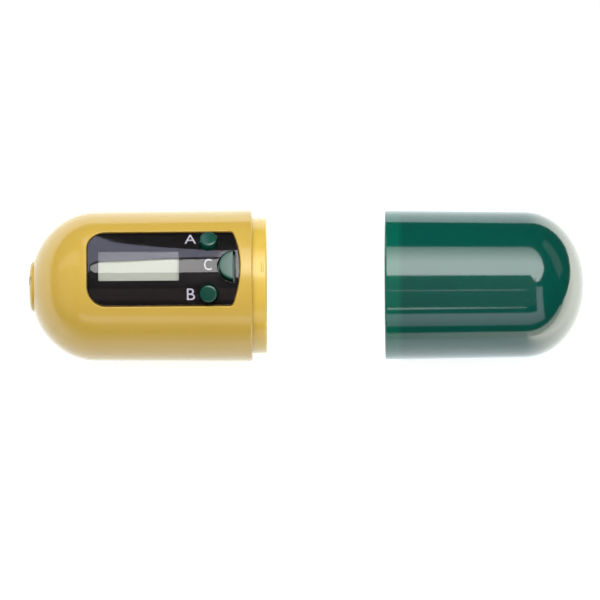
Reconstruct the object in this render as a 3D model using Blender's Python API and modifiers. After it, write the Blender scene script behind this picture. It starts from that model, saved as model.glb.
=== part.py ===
"""A capsule-shaped pill box with a timer, pulled open: the timer half and the pill cap."""

import math

import bmesh
import bpy
from mathutils import Euler, Matrix, Vector

# Driving sizes of the two halves, in metres along the capsule's axis and out from it
SHOULDER_X = -0.01277
TIMER_LENGTH = 0.05180
SHOULDER_RADIUS = 0.01787
BARREL_DRAFT = 0.00032
TIMER_DOME_DEPTH = 0.01545
TIMER_WALL = 0.0018
SHOULDER_LIP = 0.0004

OPEN_GAP = 0.03074
CAP_LENGTH = 0.04687
CAP_RIM_STEP = 0.00025
CAP_DRAFT = 0.00045
CAP_DOME_DEPTH = 0.01411
CAP_WALL = 0.0013
CAP_LIP = 0.0003

# Neck that the cap pushes onto, its bulkhead and the screws through it
SHOULDER_STEP = 0.00185
NECK_LENGTH = 0.00335
NECK_WALL = 0.0014
NECK_LIP = 0.0005
NECK_FIT = 0.00015
BULKHEAD_INSET = 0.00013
BULKHEAD_THICKNESS = 0.0012
SNAP_LENGTH = 0.0007
SNAP_WIDTH = 0.0024
SNAP_HEIGHT = 0.0002
SNAP_BACK = 0.00105
CAP_MOUTH_FIT = 0.0004
SCREW_INSET = 0.00242
SCREW_ANGLES = (0, 100, -100)
SCREW_RADIUS = 0.0009
SCREW_LENGTH = 0.0072
SCREW_HEAD_RADIUS = 0.0017
SCREW_HEAD_HEIGHT = 0.0011
SCREW_SLOT_WIDTH = 0.0005
SCREW_SLOT_DEPTH = 0.0005
SCREW_SLOT_REACH = 0.0010
BOSS_RADIUS = 0.0023
BOSS_LENGTH = 0.0085
BOSS_RIB = 0.0016

# Pill cup pressed into the cap
CUP_RIM_ROOM = 0.00025
CUP_FIT = 0.0002
CUP_WALL = 0.0012
CUP_DOME_ROOM = 0.00161

# Panel let into the timer half, rolled round the axis from the top
PANEL_ROLL = 15.2
PANEL_INTO_DOME = 0.00207
PANEL_END = 0.00281
PANEL_SIDE_ROOM = 0.00057
PANEL_LEFT_CORNER = 0.0044
PANEL_RIGHT_CORNER = 0.0009
PANEL_END_ARC = 0.0236
PANEL_FIT = 0.00015
MASK_FIT = 0.0003
PANEL_INSET = 0.00015
LENS_THICKNESS = 0.0011
MASK_THICKNESS = 0.00025
FILM_GAP = 0.0001
PANEL_SEAT_RIM = 0.0012
PANEL_FLOOR_WALL = 0.0012

# Display behind the panel's window
WINDOW_START = 0.00272
WINDOW_FROM_KEYS = 0.00682
WINDOW_HALF_WIDTH = 0.0035
WINDOW_CORNER = 0.0003
GLASS_END_MARGIN = 0.0011
GLASS_SIDE_MARGIN = 0.0017
GLASS_THICKNESS = 0.0019
GLASS_DROP = 0.00055
REFLECTOR_THICKNESS = 0.0003
FRAME_WALL = 0.0010
STRIP_WIDTH = 0.0016

# Keys: two round ones either side of the panel's middle and a half-moon at its end
KEYS_FROM_MOON = 0.00575
KEY_SPREAD = 21
KEY_RADIUS = 0.00197
KEY_PROUD = 0.00088
KEY_TRAVEL = 0.0005
KEY_BEVEL = 0.00025
KEY_HOLE_FIT = 0.00037
KEY_FLANGE_STEP = 0.0009
KEY_FLANGE_THICKNESS = 0.0006
KEY_WELL_FIT = 0.00025
KEY_WELL_WALL = 0.0008
KEY_STEM_RADIUS = 0.0011
MOON_FROM_END = 0.00162
MOON_RADIUS = 0.0033
MOON_PROUD = 0.00068
MOON_FLANGE_STEP = 0.00075
MOON_STEM_OFFSET = 0.0015

# Circuit board and what it carries, as heights along the panel's own direction
BOARD_THICKNESS = 0.0010
BOARD_HEIGHT_SHARE = 0.4
BOARD_SIDE_ROOM = 0.00035
BOARD_END_FROM_SHOULDER = 0.00383
BOARD_PAST_WALL = 0.0011
BOARD_CORNER = 0.0010
SWITCH_SIDE = 0.0030
SWITCH_HEIGHT = 0.0013
PLUNGER_RADIUS = 0.0009
PLUNGER_HEIGHT = 0.0006
CHIP_RADIUS = 0.0045
CHIP_HEIGHT = 0.0016
CHIP_SHARE = 0.55
CRYSTAL_RADIUS = 0.0010
CRYSTAL_LENGTH = 0.0060
CRYSTAL_FROM_SHOULDER = 0.0072
CRYSTAL_ROOM = 0.0005
CAPACITOR_RADIUS = 0.0020
CAPACITOR_LENGTH = 0.0050
CAPACITOR_FROM_WALL = 0.00415
CAPACITOR_SIDE = -0.006

# Chassis: a trough under the board, with the battery tube on its end wall
TROUGH_FIT = 0.00026
TROUGH_WALL = 0.0012
TROUGH_END_FROM_SHOULDER = 0.0022
END_WALL = 0.0012
TUBE_FIT = 0.00025
TUBE_WALL = 0.0012
TUBE_FLOOR = 0.0012
BUZZER_RADIUS = 0.0080
BUZZER_THICKNESS = 0.0005
BUZZER_ROOM = 0.0021
BUZZER_WALL = 0.0010
BUZZER_RING_INSET = 0.0002
WIRE_RADIUS = 0.00045
WIRE_SIDE = 0.0026
WIRE_BOW = 0.0016

# Button cells, their contacts and the coin-slot cover at the tip
CELL_RADIUS = 0.00395
CELL_THICKNESS = 0.0036
CELL_LIP = 0.0003
CELL_BASE_RADIUS = 0.0031
CELL_BASE_STEP = 0.0003
SPRING_WIRE = 0.0004
SPRING_HEIGHT = 0.0015
SPRING_TURNS = 2.5
SPRING_STEPS = 12
SPRING_TOP_RADIUS = 0.0014
SPRING_BASE_RADIUS = 0.0032
TAIL_REACH = 0.0022
STRIP_CONTACT_WIDTH = 0.0022
STRIP_CONTACT_THICKNESS = 0.0003
STRIP_CONTACT_LENGTH = 0.0055
COVER_RADIUS = 0.00593
COVER_CROWN = 0.00154
COVER_SIDE = 0.0014
COVER_PROUD = 0.00027
COVER_FIT = 0.00027
SLOT_WIDTH = 0.0020
SLOT_DEPTH = 0.0007
SKIRT_STEP = 0.00153
SKIRT_WALL = 0.0010
LEDGE_THICKNESS = 0.0012
LUG_REACH = 0.0010
LUG_THICKNESS = 0.0010
LUG_WIDTH = 0.0038
LUG_FIT = 0.0003
COLLAR_WALL = 0.0015
COLLAR_OVERRUN = 0.0004
UNLOCK_ANGLE = 60

# Clearance between seated pieces, how far cutters run past, and how far joined shapes sink in
GAP = 0.0003
OVERRUN = 0.004
SINK = 0.0004
MERGE = 0.00001

FACETS = 20
SMALL_FACETS = 24
DOME_STEPS = 10
HIDDEN_DOME_STEPS = 5
ARC_STEPS = 6
CROWN_POWER = 3
HALF_TURN = math.pi
QUARTER_TURN = math.pi / 2

# Places that follow from the sizes above
AXIS_HEIGHT = SHOULDER_RADIUS * math.cos(HALF_TURN / FACETS)
TIMER_DOME_RADIUS = SHOULDER_RADIUS - BARREL_DRAFT
TIMER_TIP_X = SHOULDER_X - TIMER_LENGTH
TIMER_DOME_X = TIMER_TIP_X + TIMER_DOME_DEPTH
TIMER_INNER = TIMER_DOME_RADIUS - TIMER_WALL
NECK_RADIUS = SHOULDER_RADIUS - SHOULDER_STEP
NECK_END_X = SHOULDER_X + NECK_LENGTH
BULKHEAD_X = SHOULDER_X - BULKHEAD_INSET
BULKHEAD_BACK_X = BULKHEAD_X - BULKHEAD_THICKNESS
SCREW_CIRCLE = NECK_RADIUS - NECK_WALL - SCREW_INSET
STEP_X = BULKHEAD_BACK_X - GAP

CAP_RIM_X = SHOULDER_X + OPEN_GAP
CAP_RIM_RADIUS = SHOULDER_RADIUS - CAP_RIM_STEP
CAP_MOUTH_RADIUS = NECK_RADIUS + CAP_MOUTH_FIT
CAP_TIP_X = CAP_RIM_X + CAP_LENGTH
CAP_DOME_X = CAP_TIP_X - CAP_DOME_DEPTH
CAP_DOME_RADIUS = CAP_RIM_RADIUS - CAP_DRAFT
CUP_RIM_X = CAP_RIM_X + NECK_LENGTH + CUP_RIM_ROOM
CUP_DOME_DEPTH = CAP_DOME_DEPTH - CAP_WALL - CUP_DOME_ROOM

PANEL_RIGHT_X = SHOULDER_X - PANEL_END
PANEL_LEFT_X = TIMER_DOME_X - PANEL_INTO_DOME
KEY_SIDE = SHOULDER_RADIUS * math.sin(math.radians(KEY_SPREAD))
PANEL_HALF_WIDTH = KEY_SIDE + KEY_RADIUS + PANEL_SIDE_ROOM
LENS_DEPTH = PANEL_INSET + LENS_THICKNESS
MASK_DEPTH = LENS_DEPTH + FILM_GAP + MASK_THICKNESS
PANEL_DEPTH = MASK_DEPTH + FILM_GAP
MASK_INNER = TIMER_DOME_RADIUS - MASK_DEPTH
SEAT_INNER = TIMER_DOME_RADIUS - PANEL_DEPTH - PANEL_FLOOR_WALL

MOON_FLAT_X = PANEL_RIGHT_X - MOON_FROM_END
MOON_STEM_X = MOON_FLAT_X - MOON_STEM_OFFSET
KEY_X = MOON_FLAT_X - KEYS_FROM_MOON
KEY_FLANGE = KEY_RADIUS + KEY_FLANGE_STEP
MOON_FLANGE = MOON_RADIUS + MOON_FLANGE_STEP
FLANGE_TOP = math.sqrt((MASK_INNER - KEY_WELL_FIT) ** 2 - KEY_FLANGE**2)
MOON_FLANGE_TOP = math.sqrt((MASK_INNER - KEY_WELL_FIT) ** 2 - MOON_FLANGE**2)
WELL_DEPTH = KEY_FLANGE_THICKNESS + KEY_TRAVEL + GAP

WINDOW_LEFT_X = PANEL_LEFT_X + WINDOW_START
WINDOW_RIGHT_X = KEY_X - WINDOW_FROM_KEYS
GLASS_LEFT_X = WINDOW_LEFT_X - GLASS_END_MARGIN
GLASS_RIGHT_X = WINDOW_RIGHT_X + GLASS_END_MARGIN
GLASS_HALF_WIDTH = WINDOW_HALF_WIDTH + GLASS_SIDE_MARGIN
GLASS_TOP = math.sqrt(MASK_INNER**2 - GLASS_HALF_WIDTH**2) - GLASS_DROP
GLASS_BOTTOM = GLASS_TOP - GLASS_THICKNESS

COVER_TIP_X = TIMER_TIP_X - COVER_PROUD
COVER_EDGE_X = COVER_TIP_X + COVER_CROWN
COVER_BACK_X = COVER_EDGE_X + COVER_SIDE
RECESS_FLOOR_X = COVER_BACK_X + GAP
LEDGE_BACK_X = RECESS_FLOOR_X + LEDGE_THICKNESS
LUG_FRONT_X = LEDGE_BACK_X + GAP
LUG_BACK_X = LUG_FRONT_X + LUG_THICKNESS
COLLAR_END_X = LUG_BACK_X + COLLAR_OVERRUN
SKIRT_RADIUS = COVER_RADIUS - SKIRT_STEP
LUG_RADIUS = SKIRT_RADIUS + LUG_REACH
CHAMBER_RADIUS = LUG_RADIUS + LUG_FIT
COLLAR_RADIUS = CHAMBER_RADIUS + COLLAR_WALL
TUBE_START_X = COLLAR_END_X + GAP
CELL_START_X = LUG_BACK_X + GAP
CELL_PITCH = CELL_THICKNESS + GAP
SPRING_TIP_X = CELL_START_X + CELL_PITCH + CELL_THICKNESS + GAP
SPRING_BASE_X = SPRING_TIP_X + SPRING_HEIGHT
TUBE_FLOOR_X = SPRING_BASE_X + GAP
TUBE_END_X = TUBE_FLOOR_X + TUBE_FLOOR
TUBE_RADIUS = CELL_RADIUS + TUBE_FIT
TUBE_OUTER = TUBE_RADIUS + TUBE_WALL

END_WALL_X = TUBE_FLOOR_X
WALL_BACK_X = END_WALL_X - END_WALL
BUZZER_X = (END_WALL_X + STEP_X - BOSS_LENGTH) / 2
BOARD_RIGHT_X = SHOULDER_X - BOARD_END_FROM_SHOULDER
BOARD_LEFT_X = WALL_BACK_X - BOARD_PAST_WALL
CHIP_X = BUZZER_X + CHIP_SHARE * (BOARD_RIGHT_X - BUZZER_X)
CRYSTAL_SIDE = CHIP_RADIUS + CRYSTAL_ROOM + CRYSTAL_RADIUS

# The board stands between the battery tube and the keys' stems pressed home
KEY_TILT = math.radians(KEY_SPREAD)
PRESSED_FLANGE = FLANGE_TOP - KEY_FLANGE_THICKNESS - KEY_TRAVEL
STEM_ROOT = PRESSED_FLANGE * math.cos(KEY_TILT) - KEY_STEM_RADIUS * math.sin(KEY_TILT)
BOARD_STACK = BOARD_THICKNESS + GAP + SWITCH_HEIGHT + PLUNGER_HEIGHT + GAP
BOARD_ROOM = STEM_ROOT - BOARD_STACK - TUBE_OUTER
BOARD_BOTTOM = TUBE_OUTER + BOARD_HEIGHT_SHARE * BOARD_ROOM
BOARD_TOP = BOARD_BOTTOM + BOARD_THICKNESS
PLUNGER_TOP = BOARD_TOP + GAP + SWITCH_HEIGHT + PLUNGER_HEIGHT
TROUGH_TOP = BOARD_BOTTOM - GAP


def clear_scene():
    for obj in list(bpy.data.objects):
        bpy.data.objects.remove(obj, do_unlink=True)


def new_collection(name):
    collection = bpy.data.collections.new(name)
    bpy.context.scene.collection.children.link(collection)
    return collection


def new_material(name, colour, roughness, metallic=0.0, alpha=1.0):
    made = bpy.data.materials.new(name)
    made.use_nodes = True
    shader = made.node_tree.nodes["Principled BSDF"]
    shader.inputs["Base Color"].default_value = (*colour, 1.0)
    shader.inputs["Roughness"].default_value = roughness
    shader.inputs["Metallic"].default_value = metallic
    shader.inputs["Alpha"].default_value = alpha
    made.diffuse_color = (*colour, alpha)
    return made


def new_empty(name, parent, location=(0, 0, 0), turn=(0, 0, 0)):
    empty = bpy.data.objects.new(name, None)
    parts.objects.link(empty)
    empty.parent = parent
    empty.location = location
    empty.rotation_euler = Euler(turn)
    return empty


def new_piece(name, mesh, finish, parent):
    """A visible piece of the object, or a hidden cutter where it has no finish."""
    obj = bpy.data.objects.new(name, mesh)
    (parts if finish else cutters).objects.link(obj)
    obj.parent = parent
    if finish:
        mesh.materials.append(finish)
        mesh.shade_smooth()
        mesh.set_sharp_from_angle(angle=math.radians(35))
    else:
        obj.hide_render = True
        obj.display_type = "WIRE"
    return obj


def turned(name, profile, finish, parent, facets=FACETS, along_x=True, closed=False):
    """A profile of (place along the axis, radius) turned round X, or round the parent's Z.

    The outer side runs from the high end of the axis to the low one.
    """
    half_facet = HALF_TURN / facets
    mesh = bpy.data.meshes.new(name)
    points = [
        (radius * math.cos(half_facet), radius * math.sin(half_facet), along)
        for along, radius in profile
    ]
    edges = [(i, i + 1) for i in range(len(points) - 1)]
    if closed:
        edges.append((len(points) - 1, 0))
    mesh.from_pydata(points, edges, [])
    obj = new_piece(name, mesh, finish, parent)
    if along_x:
        obj.rotation_euler = Euler((0, QUARTER_TURN, 0))
    screw = obj.modifiers.new("turn", "SCREW")
    screw.axis = "Z"
    screw.angle = 2 * HALF_TURN
    screw.steps = facets
    screw.render_steps = facets
    screw.use_merge_vertices = True
    screw.merge_threshold = MERGE
    screw.use_smooth_shade = True
    return obj


def as_mesh(obj):
    """The evaluated mesh of a curve, its caps welded, with the curve itself removed."""
    bpy.context.view_layer.update()
    graph = bpy.context.evaluated_depsgraph_get()
    mesh = bpy.data.meshes.new_from_object(obj.evaluated_get(graph))
    welding = bmesh.new()
    welding.from_mesh(mesh)
    bmesh.ops.remove_doubles(welding, verts=welding.verts, dist=MERGE)
    bmesh.ops.recalc_face_normals(welding, faces=welding.faces)
    welding.to_mesh(mesh)
    welding.free()
    bpy.data.objects.remove(obj, do_unlink=True)
    return mesh


def prism(name, outline, low, high, finish, parent):
    """An outline in the parent's XY plane, filled and extruded from one height to another."""
    curve = bpy.data.curves.new(name, "CURVE")
    curve.dimensions = "2D"
    curve.fill_mode = "BOTH"
    curve.extrude = (high - low) / 2
    spline = curve.splines.new("POLY")
    spline.points.add(len(outline) - 1)
    for point, (x, y) in zip(spline.points, outline):
        point.co = (x, y, 0, 1)
    spline.use_cyclic_u = True
    flat = bpy.data.objects.new(name + "_outline", curve)
    cutters.objects.link(flat)
    mesh = as_mesh(flat)
    mesh.transform(Matrix.Translation(Vector((0, 0, (low + high) / 2))))
    return new_piece(name, mesh, finish, parent)


def wire(name, path, radius, finish, parent, resolution=2):
    """A round wire along a path of points, with filled caps."""
    curve = bpy.data.curves.new(name, "CURVE")
    curve.dimensions = "3D"
    curve.bevel_depth = radius
    curve.bevel_resolution = resolution
    curve.use_fill_caps = True
    spline = curve.splines.new("POLY")
    spline.points.add(len(path) - 1)
    for point, place in zip(spline.points, path):
        point.co = (*place, 1)
    run = bpy.data.objects.new(name + "_route", curve)
    cutters.objects.link(run)
    return new_piece(name, as_mesh(run), finish, parent)


def box(name, low, high, finish, parent):
    shape = bmesh.new()
    bmesh.ops.create_cube(shape, size=1)
    size = Vector(high) - Vector(low)
    middle = (Vector(high) + Vector(low)) / 2
    bmesh.ops.scale(shape, vec=size, verts=shape.verts)
    bmesh.ops.translate(shape, vec=middle, verts=shape.verts)
    mesh = bpy.data.meshes.new(name)
    shape.to_mesh(mesh)
    shape.free()
    return new_piece(name, mesh, finish, parent)


def rod(name, radius, low, high, finish, parent, facets=SMALL_FACETS):
    """A cylinder on the parent's Z axis, from one height to another."""
    shape = bmesh.new()
    bmesh.ops.create_cone(
        shape, cap_ends=True, segments=facets, radius1=radius, radius2=radius, depth=high - low
    )
    bmesh.ops.translate(shape, vec=Vector((0, 0, (low + high) / 2)), verts=shape.verts)
    mesh = bpy.data.meshes.new(name)
    shape.to_mesh(mesh)
    shape.free()
    return new_piece(name, mesh, finish, parent)


def combine(target, operation, *others):
    for other in others:
        change = target.modifiers.new(other.name, "BOOLEAN")
        change.operation = operation
        change.object = other
        change.solver = "EXACT"


def arc(centre_x, centre_y, radius, start, end, steps=ARC_STEPS):
    """Points along an arc, from one angle to another in degrees."""
    angles = [math.radians(start + (end - start) * i / steps) for i in range(steps + 1)]
    return [(centre_x + radius * math.cos(a), centre_y + radius * math.sin(a)) for a in angles]


def rounded_rectangle(left, right, half_width, corner):
    return (
        arc(right - corner, half_width - corner, corner, 0, 90, 3)
        + arc(left + corner, half_width - corner, corner, 90, 180, 3)
        + arc(left + corner, corner - half_width, corner, 180, 270, 3)
        + arc(right - corner, corner - half_width, corner, 270, 360, 3)
    )


def panel_outline(grow):
    """Wide round corners at the dome end, and a shallow arc between tight corners at the other."""
    left = PANEL_LEFT_X + PANEL_LEFT_CORNER
    left_side = PANEL_HALF_WIDTH - PANEL_LEFT_CORNER
    left_radius = PANEL_LEFT_CORNER + grow
    arc_x = PANEL_RIGHT_X - PANEL_END_ARC
    right_side = PANEL_HALF_WIDTH - PANEL_RIGHT_CORNER
    reach = PANEL_END_ARC - PANEL_RIGHT_CORNER
    right = arc_x + math.sqrt(reach**2 - right_side**2)
    right_radius = PANEL_RIGHT_CORNER + grow
    meet = math.degrees(math.asin(right_side / reach))
    return (
        arc(arc_x, 0, PANEL_END_ARC + grow, -meet, meet)
        + arc(right, right_side, right_radius, meet, 90)[1:]
        + arc(left, left_side, left_radius, 90, 180)
        + arc(left, -left_side, left_radius, 180, 270)
        + arc(right, -right_side, right_radius, 270, 360 - meet)[:-1]
    )


def moon_outline(grow):
    """A half-moon with its round side to the dome, its flat side at the half-moon key's own zero."""
    radius = MOON_RADIUS + grow
    corner = math.degrees(math.acos(grow / radius))
    return arc(0, 0, radius, corner, 360 - corner, 2 * ARC_STEPS)


def timer_radius(x):
    """Outside radius of the timer half: a drafted barrel, then a half-ellipse dome."""
    if x >= TIMER_DOME_X:
        share = (x - TIMER_DOME_X) / (SHOULDER_X - TIMER_DOME_X)
        return TIMER_DOME_RADIUS + share * (SHOULDER_RADIUS - TIMER_DOME_RADIUS)
    across = (TIMER_DOME_X - x) / TIMER_DOME_DEPTH
    return TIMER_DOME_RADIUS * math.sqrt(1 - across**2)


def timer_bore(x):
    """Inside radius of the timer half where its dome begins and beyond."""
    across = max(0, TIMER_DOME_X - x) / (TIMER_DOME_DEPTH - TIMER_WALL)
    return TIMER_INNER * math.sqrt(1 - across**2)


def dome(centre, depth, radius, smallest=0.0, steps=DOME_STEPS):
    """Points of a half-ellipse from its widest ring to its pole, or to the smallest radius."""
    last = math.acos(smallest / radius)
    turns = [last * i / steps for i in range(steps + 1)]
    return [(centre + depth * math.sin(t), radius * math.cos(t)) for t in turns]


def timer_dome():
    """The outer line of the timer half's dome, from the barrel to the battery cover's recess."""
    return dome(TIMER_DOME_X, -TIMER_DOME_DEPTH, TIMER_DOME_RADIUS, COVER_RADIUS + COVER_FIT)


def below_surface(depth, right, left):
    """The timer half's own outer line between two places, right to left, moved in by a depth."""
    bends = [x for x, radius in timer_dome() if left < x < right]
    return [(x, timer_radius(x) - depth) for x in (right, *bends, left)]


def quarter_lip(end, radius, lip, inward):
    """The rounded outer edge of a rim whose end face is at end; inward is the way to its wall."""
    turns = (0, QUARTER_TURN / 2, QUARTER_TURN)
    return [
        (end + inward * lip * (1 - math.sin(t)), radius - lip * (1 - math.cos(t)))
        for t in reversed(turns)
    ]


def make_body_shell():
    """Yellow moulding: barrel, dome, panel recess, key wells, screw bosses and battery opening."""
    recess = COVER_RADIUS + COVER_FIT
    hole = SKIRT_RADIUS + LUG_FIT
    mouth = NECK_RADIUS + NECK_FIT
    outer = quarter_lip(SHOULDER_X, SHOULDER_RADIUS, SHOULDER_LIP, -1) + timer_dome()
    ledge = [
        (RECESS_FLOOR_X, recess),
        (RECESS_FLOOR_X, hole),
        (LEDGE_BACK_X, hole),
        (LEDGE_BACK_X, CHAMBER_RADIUS),
        (COLLAR_END_X, CHAMBER_RADIUS),
        (COLLAR_END_X, COLLAR_RADIUS),
    ]
    depth = TIMER_WALL - TIMER_DOME_DEPTH
    inner = dome(TIMER_DOME_X, depth, TIMER_INNER, COLLAR_RADIUS, HIDDEN_DOME_STEPS)[::-1]
    inner.append((STEP_X, timer_radius(STEP_X) - TIMER_WALL))
    profile = outer + ledge + inner + [(STEP_X, mouth), (SHOULDER_X, mouth)]
    shell = turned("body_shell", profile, yellow, capsule, closed=True)

    seat = prism("panel_seat", panel_outline(PANEL_SEAT_RIM), 0, SHOULDER_RADIUS, None, panel)
    seat_end = PANEL_LEFT_X - PANEL_SEAT_RIM - SINK
    upper = below_surface(PANEL_DEPTH - SINK, STEP_X, seat_end)
    lower = below_surface(PANEL_DEPTH + PANEL_FLOOR_WALL, STEP_X, seat_end)
    band = turned("panel_seat_band", upper + lower[::-1], None, capsule, closed=True)
    combine(seat, "INTERSECT", band)
    well_top = SEAT_INNER + PANEL_FLOOR_WALL / 3
    floor = FLANGE_TOP - WELL_DEPTH
    moon_floor = MOON_FLANGE_TOP - WELL_DEPTH
    wells = []
    for key, axis in (("a", key_axis_a), ("b", key_axis_b)):
        radius = KEY_FLANGE + KEY_WELL_FIT + KEY_WELL_WALL
        wells.append(rod("well_" + key, radius, floor - KEY_WELL_WALL, well_top, None, axis))
    moon_wall = MOON_FLANGE_STEP + KEY_WELL_FIT + KEY_WELL_WALL
    moon_low = moon_floor - KEY_WELL_WALL
    wells.append(prism("well_c", moon_outline(moon_wall), moon_low, well_top, None, key_axis_c))
    bosses = []
    for number, angle in enumerate(SCREW_ANGLES, start=1):
        place = screw_place(angle)
        axis = new_empty(f"boss_axis_{number}", panel, place, (0, QUARTER_TURN, 0))
        end = STEP_X - BULKHEAD_BACK_X
        bosses.append(rod(f"boss_{number}", BOSS_RADIUS, end - BOSS_LENGTH, end, None, axis))
        spoke = new_empty(f"rib_axis_{number}", panel, turn=(math.radians(angle), 0, 0))
        low = (STEP_X - BOSS_LENGTH, -BOSS_RIB / 2, -TIMER_INNER - SINK)
        high = (STEP_X, BOSS_RIB / 2, -SCREW_CIRCLE)
        bosses.append(box(f"boss_rib_{number}", low, high, None, spoke))
    combine(shell, "UNION", seat, *wells, *bosses)

    recess_prism = prism("panel_recess", panel_outline(0), 0, SHOULDER_RADIUS + OVERRUN, None, panel)
    floor_line = below_surface(PANEL_DEPTH, SHOULDER_X, seat_end)
    core_line = [(SHOULDER_X, 0), *floor_line, (seat_end, 0)]
    core = turned("panel_recess_core", core_line, None, capsule)
    combine(recess_prism, "DIFFERENCE", core)
    left, right = GLASS_LEFT_X - GAP, GLASS_RIGHT_X + GAP
    opening = rounded_rectangle(left, right, GLASS_HALF_WIDTH + GAP, WINDOW_CORNER)
    cuts = [recess_prism]
    cuts.append(prism("glass_opening", opening, BOARD_TOP + GAP, SHOULDER_RADIUS, None, panel))
    for key, axis in (("a", key_axis_a), ("b", key_axis_b), ("c", stem_axis_c)):
        guide = KEY_STEM_RADIUS + GAP
        cuts.append(rod("guide_" + key, guide, moon_floor - OVERRUN, floor + SINK, None, axis))
    for key, axis in (("a", key_axis_a), ("b", key_axis_b)):
        pocket = KEY_FLANGE + KEY_WELL_FIT
        cuts.append(rod("pocket_" + key, pocket, floor, SHOULDER_RADIUS, None, axis))
    moon_room = moon_outline(MOON_FLANGE_STEP + KEY_WELL_FIT)
    cuts.append(prism("pocket_c", moon_room, moon_floor, SHOULDER_RADIUS, None, key_axis_c))
    for number, angle in enumerate(SCREW_ANGLES, start=1):
        axis = new_empty(f"pilot_axis_{number}", panel, screw_place(angle), (0, QUARTER_TURN, 0))
        pilot = SCREW_RADIUS + GAP
        depth = GAP - SCREW_LENGTH
        cuts.append(rod(f"pilot_{number}", pilot, depth, OVERRUN, None, axis, facets=12))
    notch_turn = (-math.radians(UNLOCK_ANGLE), 0, 0)
    notch_axis = new_empty("lug_notch_axis", panel, turn=notch_turn)
    notch = box(
        "lug_notches",
        (RECESS_FLOOR_X - OVERRUN, -LUG_WIDTH / 2 - LUG_FIT, -CHAMBER_RADIUS),
        (LEDGE_BACK_X + SINK, LUG_WIDTH / 2 + LUG_FIT, CHAMBER_RADIUS),
        None,
        notch_axis,
    )
    cuts.append(notch)
    combine(shell, "DIFFERENCE", *cuts)


def screw_place(angle):
    """Where a screw's axis meets the back of the bulkhead, its angle counted from straight down."""
    turn = math.radians(angle)
    return (BULKHEAD_BACK_X, SCREW_CIRCLE * math.sin(turn), -SCREW_CIRCLE * math.cos(turn))


def make_neck():
    """The collar and bulkhead that close the timer half, with two snap bumps and three screws."""
    inner = NECK_RADIUS - NECK_WALL
    profile = [(BULKHEAD_X, 0), (BULKHEAD_X, inner), (NECK_END_X, inner)]
    profile += quarter_lip(NECK_END_X, NECK_RADIUS, NECK_LIP, -1)
    profile += [(BULKHEAD_BACK_X, NECK_RADIUS), (BULKHEAD_BACK_X, 0)]
    neck = turned("neck_cup", profile, clear_yellow, capsule)
    middle = NECK_END_X - SNAP_BACK
    flat = NECK_RADIUS * math.cos(HALF_TURN / FACETS)
    low, high = flat - SINK, flat + SNAP_HEIGHT
    near = (middle - SNAP_LENGTH / 2, -SNAP_WIDTH / 2, low)
    far = (middle + SNAP_LENGTH / 2, SNAP_WIDTH / 2, high)
    for side, turn in (("top", 0), ("bottom", HALF_TURN)):
        facing = new_empty("snap_axis_" + side, panel, turn=(turn, 0, 0))
        combine(neck, "UNION", box("snap_" + side, near, far, None, facing))
    for number, angle in enumerate(SCREW_ANGLES, start=1):
        axis = new_empty(f"screw_axis_{number}", panel, screw_place(angle), (0, QUARTER_TURN, 0))
        hole = SCREW_RADIUS + GAP
        cut = rod(f"screw_hole_{number}", hole, -OVERRUN, OVERRUN, None, axis, facets=12)
        combine(neck, "DIFFERENCE", cut)
        head_back = BULKHEAD_THICKNESS + GAP
        head_top = head_back + SCREW_HEAD_HEIGHT
        crown = SCREW_HEAD_HEIGHT / 3
        profile = [
            (head_top, 0),
            (head_top, SCREW_HEAD_RADIUS - crown),
            (head_top - crown, SCREW_HEAD_RADIUS),
            (head_back, SCREW_HEAD_RADIUS),
            (head_back, SCREW_RADIUS),
            (head_back - SCREW_LENGTH + SCREW_RADIUS, SCREW_RADIUS),
            (head_back - SCREW_LENGTH, 0),
        ]
        screw = turned(f"neck_screw_{number}", profile, steel, axis, 12, along_x=False)
        half = SCREW_SLOT_WIDTH / 2
        floor = head_top - SCREW_SLOT_DEPTH
        for way, long, wide in (("x", SCREW_SLOT_REACH, half), ("y", half, SCREW_SLOT_REACH)):
            low, high = (-long, -wide, floor), (long, wide, head_top + OVERRUN)
            recess = box(f"screw_cross_{way}_{number}", low, high, None, axis)
            combine(screw, "DIFFERENCE", recess)


def make_panel():
    """The clear lens and the black film behind it, both curved with the barrel."""
    end = PANEL_LEFT_X - SINK
    outer = below_surface(PANEL_INSET, SHOULDER_X, end)
    inner = below_surface(LENS_DEPTH, SHOULDER_X, end)
    lens = turned("panel_lens", outer + inner[::-1], clear, capsule, closed=True)
    reach = SHOULDER_RADIUS + OVERRUN
    shape = prism("lens_outline", panel_outline(-PANEL_FIT), 0, reach, None, panel)
    combine(lens, "INTERSECT", shape)

    outer = below_surface(LENS_DEPTH + FILM_GAP, SHOULDER_X, end)
    inner = below_surface(MASK_DEPTH, SHOULDER_X, end)
    mask = turned("panel_mask", outer + inner[::-1], black, capsule, closed=True)
    shape = prism("mask_outline", panel_outline(-MASK_FIT), 0, reach, None, panel)
    combine(mask, "INTERSECT", shape)
    window = rounded_rectangle(WINDOW_LEFT_X, WINDOW_RIGHT_X, WINDOW_HALF_WIDTH, WINDOW_CORNER)
    combine(mask, "DIFFERENCE", prism("window", window, 0, reach, None, panel))
    hole = KEY_RADIUS + KEY_HOLE_FIT
    for key, axis in (("a", key_axis_a), ("b", key_axis_b)):
        cut = rod("key_hole_" + key, hole, SEAT_INNER, reach, None, axis)
        combine(lens, "DIFFERENCE", cut)
        combine(mask, "DIFFERENCE", cut)
    cut = prism("key_hole_c", moon_outline(KEY_HOLE_FIT), SEAT_INNER, reach, None, key_axis_c)
    combine(lens, "DIFFERENCE", cut)
    combine(mask, "DIFFERENCE", cut)


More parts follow.
